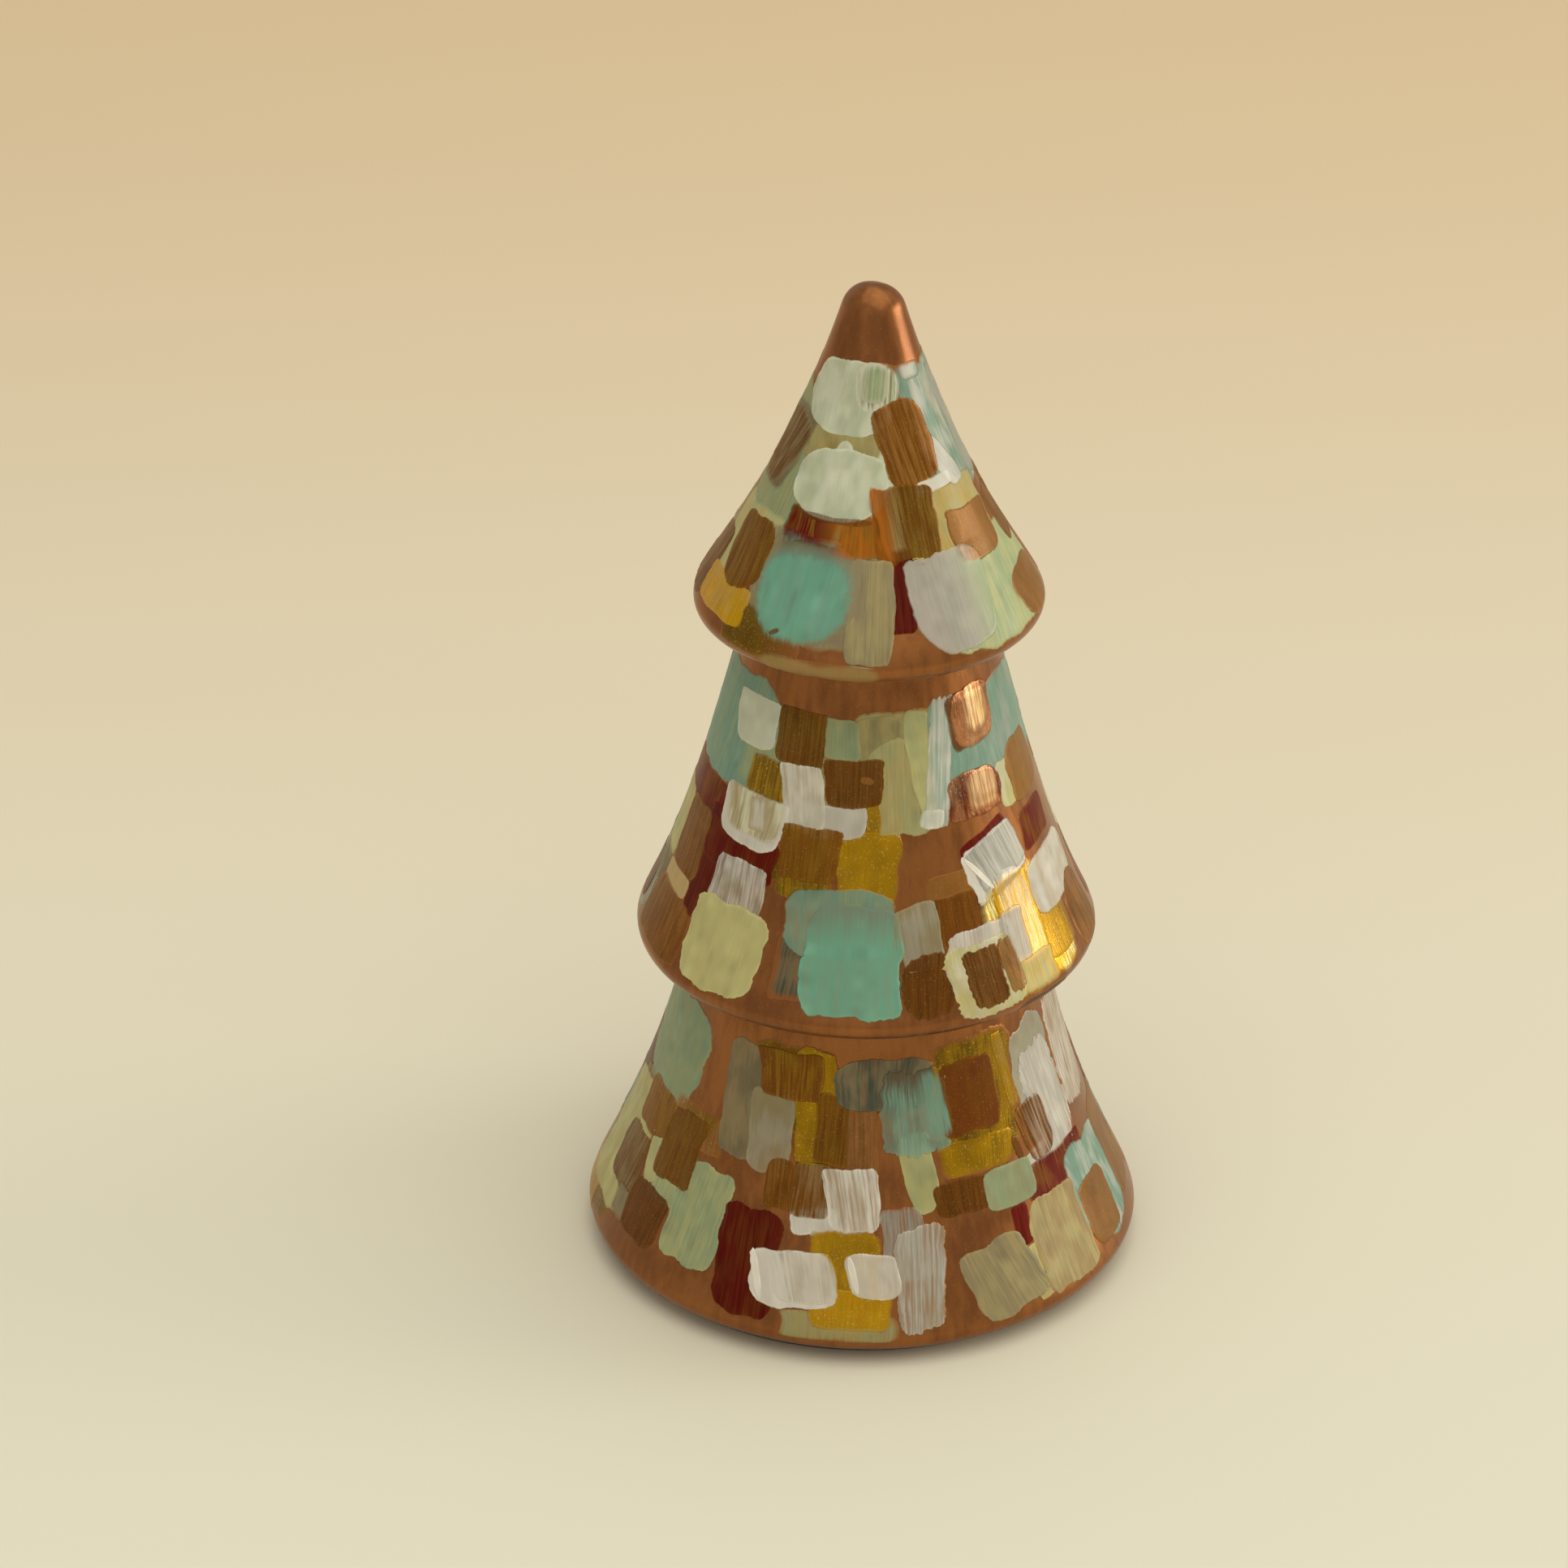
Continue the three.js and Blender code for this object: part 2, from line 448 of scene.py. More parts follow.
def make_piece(name: str, points: np.ndarray, faces: list[np.ndarray], materials: list[bpy.types.Material],
               replaces: tuple[str, ...] = ()) -> bpy.types.Object:
    """Makes a piece from whole arrays and puts it on the body.

    Args:
        name: the piece's name.
        points: one row of x, y, z in metres for each vertex.
        faces: blocks of faces, each an array of vertex numbers with one row a face.
        materials: the piece's materials, in slot order.
        replaces: the CAD nodes that it stands for.

    Returns:
        The new object, at the origin.
    """
    mesh = bpy.data.meshes.new(name)
    corners = np.concatenate([block.ravel() for block in faces]).astype(np.int32)
    sizes = np.concatenate([np.full(len(block), block.shape[1]) for block in faces])
    starts = np.concatenate([[0], np.cumsum(sizes)[:-1]]).astype(np.int32)
    mesh.vertices.add(len(points))
    mesh.vertices.foreach_set("co", points.astype(np.float32).ravel())
    mesh.loops.add(len(corners))
    mesh.loops.foreach_set("vertex_index", corners)
    mesh.polygons.add(len(sizes))
    mesh.polygons.foreach_set("loop_start", starts)
    mesh.update(calc_edges=True)
    mesh.validate()
    mesh.shade_smooth()
    for material in materials:
        mesh.materials.append(material)
    piece = bpy.data.objects.new(name, mesh)
    bpy.context.scene.collection.objects.link(piece)
    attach(piece, BODY)
    if replaces:
        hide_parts(*replaces)
    log.info("%s: %d faces", name, len(sizes))
    return piece


def set_uv(mesh: bpy.types.Mesh, name: str, corner_uv: np.ndarray) -> None:
    """Stores a UV map given as one row for each face corner."""
    layer = mesh.uv_layers.new(name=name)
    layer.uv.foreach_set("vector", corner_uv.astype(np.float32).ravel())


def set_colour(mesh: bpy.types.Mesh, name: str, rows: np.ndarray) -> None:
    """Stores a colour attribute given as one row of four for each vertex."""
    layer = mesh.color_attributes.new(name=name, type="FLOAT_COLOR", domain="POINT")
    layer.data.foreach_set("color", rows.astype(np.float32).ravel())


def set_value(mesh: bpy.types.Mesh, name: str, values: np.ndarray) -> None:
    """Stores one number for each vertex."""
    layer = mesh.attributes.new(name=name, type="FLOAT", domain="POINT")
    layer.data.foreach_set("value", values.astype(np.float32).ravel())


def vertex_numbers(mesh: bpy.types.Mesh) -> np.ndarray:
    """The vertex number of each face corner."""
    numbers = np.empty(len(mesh.loops), dtype=np.int32)
    mesh.loops.foreach_get("vertex_index", numbers)
    return numbers


def grid_faces(rows: int, columns: int, wrap_rows: bool = False, wrap_columns: bool = False) -> np.ndarray:
    """Four-sided faces over a grid of vertices numbered row by row.

    Args:
        rows, columns: the grid's size in vertices.
        wrap_rows, wrap_columns: whether the last row or column joins the first.

    Returns:
        One row of four vertex numbers for each face.
    """
    row = np.arange(rows if wrap_rows else rows - 1)[:, None]
    column = np.arange(columns if wrap_columns else columns - 1)[None, :]
    next_row = (row + 1) % rows
    next_column = (column + 1) % columns
    quads = np.stack(np.broadcast_arrays(
        row * columns + column, row * columns + next_column,
        next_row * columns + next_column, next_row * columns + column), axis=-1)
    return quads.reshape(-1, 4)


def arc(centre: tuple[float, float], radius: float, start: float, end: float, steps: int) -> np.ndarray:
    """Points on an arc: the centre plus the radius times the cosine and sine of evenly spaced angles."""
    angles = np.radians(np.linspace(start, end, steps + 1))
    return np.array(centre) + radius * np.stack([np.cos(angles), np.sin(angles)], axis=-1)


def bezier(points: list[tuple[float, float]], steps: int) -> np.ndarray:
    """A cubic curve: its four points weighted by the Bernstein shares of an even run from 0 to 1."""
    run = np.linspace(0.0, 1.0, steps + 1)[:, None]
    first, second, third, fourth = np.array(points, dtype=float)
    rest = 1.0 - run
    return rest**3 * first + 3 * rest**2 * run * second + 3 * rest * run**2 * third + run**3 * fourth


def joined(*runs: np.ndarray) -> np.ndarray:
    """Joins runs of profile points into one, without repeating a point that two runs share."""
    line = np.concatenate([np.atleast_2d(np.array(run, dtype=float)) for run in runs])
    step = np.hypot(*np.diff(line, axis=0).T)
    return line[np.concatenate([[True], step > 1e-5])]


def inward(line: np.ndarray, wall: float) -> np.ndarray:
    """A line moved sideways by the wall, to the left of its run."""
    along = np.gradient(line, axis=0)
    along /= np.linalg.norm(along, axis=1, keepdims=True)
    return line + wall * np.stack([-along[:, 1], along[:, 0]], axis=-1)


def hand_wobble(angle: np.ndarray, height: np.ndarray) -> np.ndarray:
    """The unevenness of a hand-turned wall in mm: three slow waves round the axis that drift with height."""
    return (0.11 * np.sin(2 * angle + height / 23.0) + 0.06 * np.sin(3 * angle - height / 11.0 + 1.3)
            + 0.035 * np.sin(5 * angle + height / 7.0 + 0.6))


AROUND = 288


def turned_piece(name: str, profile: np.ndarray, materials: list[bpy.types.Material],
                 painted: np.ndarray | None = None, wobble: bool = True) -> bpy.types.Object:
    """Turns a profile round the axis into a closed piece that replaces the CAD node of the same name.

    A vertex is at the profile's radius, plus the wobble, round the axis, and at the profile's height. The
    profile runs up on the outside and down on the inside. It closes on itself, or it starts and ends on the
    axis, where the two ends become single vertices with a fan of triangles.

    Args:
        name: the piece and the node.
        profile: radius and height in mm.
        materials: the paint first, then the bare clay where there are two.
        painted: for each profile point, whether the paint covers the stretch after it.
        wobble: whether the hand's unevenness shows.

    Returns:
        The piece.
    """
    on_axis = profile[0, 0] < 1e-6
    rings = profile[1:-1] if on_axis else profile
    angle = np.linspace(0.0, 2 * math.pi, AROUND, endpoint=False)
    radius = rings[:, 0, None] + (hand_wobble(angle, rings[:, 1, None]) if wobble else 0.0 * angle)
    height = np.broadcast_to(rings[:, 1, None], radius.shape)
    points = np.stack([radius * np.sin(angle), -radius * np.cos(angle), height], axis=-1).reshape(-1, 3)
    faces = [grid_faces(len(rings), AROUND, wrap_rows=not on_axis, wrap_columns=True)]
    if on_axis:
        ends = np.array([[0.0, 0.0, profile[0, 1]], [0.0, 0.0, profile[-1, 1]]])
        points = np.concatenate([points, ends])
        ring = np.arange(AROUND)
        after = (ring + 1) % AROUND
        last = (len(rings) - 1) * AROUND
        bottom_pole = np.full(AROUND, len(points) - 2)
        top_pole = np.full(AROUND, len(points) - 1)
        faces.append(np.stack([after, ring, bottom_pole], axis=-1))
        faces.append(np.stack([last + ring, last + after, top_pole], axis=-1))
    piece = make_piece(name + "_shell", points * MM, faces, materials, replaces=(name,))
    if painted is not None and len(materials) > 1:
        rows = np.repeat(painted[1:-1] if on_axis else painted, AROUND)
        rows = rows[:len(faces[0])]
        fans = np.repeat([painted[0], painted[-1]], AROUND) if on_axis else np.array([], dtype=bool)
        bare = ~np.concatenate([rows, fans])
        piece.data.polygons.foreach_set("material_index", bare.astype(np.int32))
        piece.data.update()
    return piece


# ---- The tiers' shapes ----

@dataclass(frozen=True)
class Clay:
    """Sizes that all the clay pieces share, in mm."""

    wall: float = 3.0
    gap: float = 0.3
    rounding: float = 2.0
    dip: float = 0.6
    collar_wall: float = 3.4
    spigot_wall: float = 2.5


CLAY = Clay()


def node_sizes(node: str) -> tuple[float, float, float]:
    """A turned node's outer radius, lowest level and highest level in mm."""
    low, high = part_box(node)
    return (high[0] - low[0]) / 2 / MM, low[2] / MM, high[2] / MM


@dataclass
class Outline:
    """A tier's painted surface as a line from its top to its foot, in mm."""

    line: np.ndarray
    length: np.ndarray = field(init=False)
    normal: np.ndarray = field(init=False)

    def __post_init__(self) -> None:
        """Measures the line and finds the direction out of it."""
        step = np.hypot(*np.diff(self.line, axis=0).T)
        self.length = np.concatenate([[0.0], np.cumsum(step)])
        along = np.gradient(self.line, axis=0)
        along /= np.linalg.norm(along, axis=1, keepdims=True)
        self.normal = np.stack([-along[:, 1], along[:, 0]], axis=-1)

    def radius(self, down: np.ndarray) -> np.ndarray:
        """The radius at a length down the surface."""
        return np.interp(down, self.length, self.line[:, 0])

    def place(self, angle: np.ndarray, down: np.ndarray, lift: np.ndarray) -> np.ndarray:
        """Points on the surface or above it.

        The point on the line at that length, plus the wobble, moved out along the line's normal by the lift,
        and turned round the axis by the angle.

        Args:
            angle: radians round from the front.
            down: mm along the surface from the top.
            lift: mm above the surface.

        Returns:
            x, y, z in mm.
        """
        height = np.interp(down, self.length, self.line[:, 1])
        out = np.interp(down, self.length, self.normal[:, 0])
        up = np.interp(down, self.length, self.normal[:, 1])
        radius = self.radius(down) + hand_wobble(angle, height) + lift * out
        return np.stack([radius * np.sin(angle), -radius * np.cos(angle), height + lift * up], axis=-1)


TierShape = tuple[np.ndarray, np.ndarray, Outline]


@dataclass
class Tier:
    """A hollow clay cone with a flared skirt, as sizes in mm read from its CAD node and named here."""

    node: str
    rim_run: float
    end_run: float
    flare_steps: int = 72
    round_steps: int = 12

    def flare(self, rim_radius: float, rim_level: float, end: tuple[float, float],
              angle: float) -> np.ndarray:
        """The outer flare: a cubic that leaves the rim upright and meets its end at an angle to the axis."""
        rise = end[1] - rim_level
        reach = rise * self.end_run
        first = (rim_radius, rim_level + rise * self.rim_run)
        second = (end[0] + reach * math.tan(math.radians(angle)), end[1] - reach)
        return bezier([(rim_radius, rim_level), first, second, end], self.flare_steps)

    def hollow(self, flare: np.ndarray, floor: float, ceiling: float) -> np.ndarray:
        """The hollow's wall from the top down: the flare moved in by the wall, between two levels."""
        line = inward(flare, CLAY.wall)[::-3]
        kept = line[(line[:, 1] > floor) & (line[:, 1] < ceiling)]
        return joined((kept[0, 0], ceiling), kept, (kept[-1, 0], floor))

    def rim(self, rim_radius: float, low: float) -> np.ndarray:
        """The rounding between an underside and the flare."""
        centre = (rim_radius - CLAY.rounding, low + CLAY.rounding)
        return arc(centre, CLAY.rounding, -90, 0, self.round_steps)

    def underside(self, rim_radius: float, seat: float, spigot_radius: float, spigot_end: float,
                  neck_below: float) -> tuple[np.ndarray, np.ndarray]:
        """What the tier below hides: the hollow's floor, the spigot and the underside, up to the rim.

        Args:
            rim_radius: the skirt's radius in mm.
            seat: the level at which the tier sits on the neck below.
            spigot_radius, spigot_end: how wide the spigot is, and its lowest level.
            neck_below: the radius of the neck below.

        Returns:
            The bare stretch, and the painted one from the neck round the rim.
        """
        bore = spigot_radius - CLAY.spigot_wall
        low = seat + CLAY.dip
        bare = joined((bore, low + CLAY.wall), (bore, spigot_end), (spigot_radius, spigot_end),
                      (spigot_radius, seat))
        return bare, joined((neck_below, seat), self.rim(rim_radius, low))

    def closed(self, inside: np.ndarray, outside: np.ndarray, more: int = 0) -> TierShape:
        """Closes the tier's profile.

        Args:
            inside, outside: its runs down the hollow and up the painted side.
            more: how many of the points before the painted run take paint too.

        Returns:
            The closed profile, which of its points are painted, and the painted outline.
        """
        profile = joined(inside, outside)
        painted = np.arange(len(profile)) >= len(profile) - len(outside) - more
        return profile, painted, Outline(outside[::-1])


@dataclass
class TopTier(Tier):
    """The pointed tier, with a round solid tip."""

    node: str = "top_tier"
    rim_run: float = 0.065
    end_run: float = 0.65
    tip_radius: float = 3.7
    tip_angle: float = 17.2
    tip_solid: float = 16.0
    spigot_length: float = 4.7
    spigot_radius: float = 10.7
    neck_below: float = 14.4

    def shape(self) -> TierShape:
        """Works out the tier.

        Returns:
            The closed profile, which of its points are painted, and the painted outline.
        """
        radius, spigot_end, top = node_sizes(self.node)
        seat = spigot_end + self.spigot_length
        dome = arc((0.0, top - self.tip_radius), self.tip_radius, self.tip_angle, 90, self.round_steps)
        dome[-1, 0] = 0.0
        flare = self.flare(radius, seat + CLAY.dip + CLAY.rounding, tuple(dome[0]), self.tip_angle)
        hollow = self.hollow(flare, seat + CLAY.dip + CLAY.wall, top - self.tip_solid)
        under, rim = self.underside(radius, seat, self.spigot_radius, spigot_end, self.neck_below)
        peak = (0.0, hollow[0, 1] + hollow[0, 0] / 2)
        return self.closed(joined(peak, hollow, under), joined(rim, flare, dome), 1)


@dataclass
class NeckedTier(Tier):
    """A tier that carries another: its neck is open and takes the spigot above."""

    neck_radius: float = 14.4
    neck_angle: float = 13.5
    collar_depth: float = 5.0

    def collar(self, top: float) -> np.ndarray:
        """The neck's inner edge and the bore that the spigot above sits in."""
        bore = self.neck_radius - CLAY.collar_wall
        return np.array([(bore, top), (bore, top - self.collar_depth)])


@dataclass
class MiddleTier(NeckedTier):
    """The middle tier, with a spigot below."""

    node: str = "middle_tier"
    rim_run: float = 0.035
    end_run: float = 0.8
    spigot_length: float = 5.7
    spigot_radius: float = 17.5
    neck_below: float = 21.2

    def shape(self) -> TierShape:
        """Works out the tier.

        Returns:
            The closed profile, which of its points are painted, and the painted outline.
        """
        radius, spigot_end, top = node_sizes(self.node)
        seat = spigot_end + self.spigot_length
        flare = self.flare(radius, seat + CLAY.dip + CLAY.rounding, (self.neck_radius, top), self.neck_angle)
        hollow = self.hollow(flare, seat + CLAY.dip + CLAY.wall, top - self.collar_depth)
        under, rim = self.underside(radius, seat, self.spigot_radius, spigot_end, self.neck_below)
        return self.closed(joined(self.collar(top), hollow, under), joined(rim, flare))


@dataclass
class BottomTier(NeckedTier):
    """The bottom tier, with a rounded foot and a bored seat for the base disc."""

    node: str = "bottom_tier"
    rim_run: float = 0.055
    end_run: float = 0.62
    neck_radius: float = 21.2
    neck_angle: float = 11.1
    collar_depth: float = 6.0
    foot_wall: float = 4.5
    seat_depth: float = 6.6

    def shape(self) -> TierShape:
        """Works out the tier.

        Returns:
            The closed profile, which of its points are painted, and the painted outline.
        """
        radius, foot, top = node_sizes(self.node)
        flare = self.flare(radius, foot + CLAY.rounding, (self.neck_radius, top), self.neck_angle)
        hollow = self.hollow(flare, foot + self.seat_depth, top - self.collar_depth)
        bore = radius - self.foot_wall
        inside = joined(self.collar(top), hollow, (bore, foot + self.seat_depth), (bore, foot))
        return self.closed(inside, joined(self.rim(radius, foot), flare))


# ---- Dabs of paint ----

class Side(Enum):
    """The side of a stroke that the paint fades out towards: across, along."""

    NONE = (0, 0)
    LEFT = (-1, 0)
    RIGHT = (1, 0)
    TOP = (0, -1)
    FOOT = (0, 1)


@dataclass(frozen=True)
class Dab:
    """One stroke of a flat brush, laid down the tier.

    angle is in degrees round from the front, towards the viewer's right; down is from the tier's top to the
    stroke's middle and long its length, in mm along the surface; span is its width in degrees. load is the
    second paint in the brush, and amount how much of it shows. tilt turns the stroke and lean slants it, in
    degrees. head and tail say how square its two ends are, from 2 for an ellipse upwards. soft is how far its
    edge fades and thick how high it stands, in mm. dry says how dry the brush was, ragged how rough the edge
    is, cover how well the paint hides, fade the side it thins towards, and tone how light it is.
    """

    paint: Paint
    angle: float
    down: float
    span: float
    long: float
    load: Paint | None = None
    tilt: float = 0.0
    amount: float = 0.45
    head: float = 7.0
    tail: float = 7.0
    soft: float = 0.2
    dry: float = 0.12
    ragged: float = 0.012
    fade: Side = Side.NONE
    cover: float = 1.0
    tone: float = 1.0
    lean: float = 0.0
    thick: float = 0.045


(MINT, TURQUOISE, SAGE, IVORY, WHITE, CREAM, BUFF, KHAKI, STONE, SLATE, SILVER, LAVENDER, GOLD, OLIVE, BROWN,
 UMBER, TAN, PAINTED_GLINT, COPPER, OXBLOOD, AMBER) = Paint
TOP_DABS = (
    Dab(SAGE, -68, 24, 50, 20, KHAKI, soft=1, tone=0.92),
    Dab(KHAKI, -20, 23, 56, 16, SAGE, soft=0.8),
    Dab(KHAKI, 30, 25, 52, 16, CREAM, soft=0.8, tone=1.05),
    Dab(MINT, 66, 19, 66, 17, WHITE, dry=0.5, soft=1, amount=0.6),
    Dab(SILVER, 90, 19, 30, 15, MINT, soft=1.2),
    Dab(IVORY, 3, 19.5, 24, 10, CREAM, tilt=-14, soft=0.6, dry=0.4),
    Dab(KHAKI, -26, 19.3, 66, 5.5, OLIVE, soft=0.6, tone=0.95),
    Dab(SAGE, -62, 28, 60, 8, KHAKI, soft=1, tone=0.9),
    Dab(KHAKI, 52, 29.5, 46, 9, GOLD, soft=0.5, tone=1.1, amount=0.35),
    Dab(KHAKI, -72, 35, 40, 11, SAGE, soft=0.8, tone=1.25),
    Dab(STONE, -27, 36.5, 54, 13.4, SAGE, soft=1, tone=0.95),
    Dab(OXBLOOD, -33, 29.4, 30, 4.2, OLIVE, soft=0.6, tone=1.3, amount=0.6),
    Dab(AMBER, -12, 29.6, 34, 5.4, OLIVE, soft=0.5, amount=0.6, fade=Side.LEFT),
    Dab(OLIVE, -42, 42.8, 34, 5.6, UMBER, soft=0.8, fade=Side.RIGHT),
    Dab(SAGE, 60, 38.6, 66, 12.2, CREAM, soft=0.5, tone=1.16),
    Dab(STONE, -84, 22, 60, 10.5, BROWN, soft=0.7, tone=0.8),
    Dab(BROWN, -78, 22.3, 42, 9.8, STONE, tilt=6, soft=1, amount=0.7, head=3, tail=3),
    Dab(IVORY, -24, 14, 98, 8.6, SAGE, head=2.4, tail=3.4, soft=0.25),
    Dab(STONE, 6, 12.8, 48, 5.8, SAGE, tilt=4, dry=0.95, cover=0.6, soft=1.3, head=3, tail=3),
    Dab(SAGE, 2, 12.4, 30, 4.6, MINT, tilt=6, tone=1.1, dry=0.95, cover=0.7, soft=1.2, head=3, tail=3),
    # A thin white strip on the right, where the light strikes: painted highlight.
    Dab(WHITE, 46, 11.4, 30, 2, soft=0.9, cover=0.85, fade=Side.RIGHT, head=4, tail=4),
    Dab(WHITE, 53, 22.6, 17, 7.4, SILVER, tilt=-28, soft=0.6, head=3.4, tail=3.4, dry=0.4),
    Dab(WHITE, 40, 24.7, 28, 1.5, tilt=-6, soft=0.4, cover=0.85, tone=1.12),
    Dab(IVORY, -21, 20.4, 13, 2.8, head=2, tail=4, soft=0.3),
    Dab(IVORY, -21, 24.1, 62, 8.2, SAGE, head=2.5, tail=2.5, tone=1.04),
    Dab(UMBER, -20, 28.1, 40, 0.7, soft=0.4, cover=0.7, head=3, tail=3),
    Dab(BROWN, 26.5, 19.3, 44, 9.8, TAN, tilt=-10, head=3.4, tail=5.5, amount=0.4, tone=1.28),
    Dab(OXBLOOD, 12, 36, 12, 9.4, head=12, soft=0.3, tone=0.92),
    Dab(AMBER, 7, 28.4, 13, 8.8, BROWN, soft=0.5, fade=Side.RIGHT, amount=0.8),
    Dab(BROWN, 20, 28.4, 33, 8.4, OLIVE, amount=0.6, fade=Side.LEFT, head=6),
    Dab(TAN, 58, 31.5, 32, 6.4, BROWN, tilt=4, head=8, tail=5),
    Dab(BROWN, 88, 32.4, 18, 7.5, TAN, tilt=-12, head=4, tail=4),
    Dab(STONE, -0.5, 38.6, 18, 12, KHAKI, head=10, tail=5, soft=0.35, tone=1.08),
    Dab(LAVENDER, 34, 38.3, 36, 11.6, SILVER, tail=2.5, soft=0.4, fade=Side.RIGHT, tone=0.9),
    Dab(SLATE, -31, 32.6, 34, 4.6, TURQUOISE, cover=0.6, dry=0.3, soft=1.6, tone=1.2),
    Dab(MINT, -29, 37, 46, 12, SAGE, head=2.6, tail=2.6, soft=2.4, cover=0.8),
    Dab(TURQUOISE, -29, 37.7, 42, 10.8, MINT, head=2.3, tail=2.6, soft=1.4, ragged=0.04, dry=0.4),
    Dab(UMBER, -35, 42, 4, 0.5, tilt=-32, head=2, tail=2, cover=0.8),
    Dab(UMBER, -88, 39.5, 17, 9.5, TAN, head=4, tail=4),
    Dab(GOLD, -66, 41, 32, 4.8, BUFF, amount=0.5, soft=0.4, tone=1.4),
    Dab(BROWN, -63.5, 35, 27, 8.8, OLIVE, tilt=-4, head=4, tail=2.8, tone=1.18),
    Dab(TAN, 79, 41.4, 27, 6.6, BROWN, head=2.8, tail=3, amount=0.6),
    Dab(KHAKI, -18, 45.8, 44, 3, cover=0.5, soft=1.4, head=3, tail=3),
)
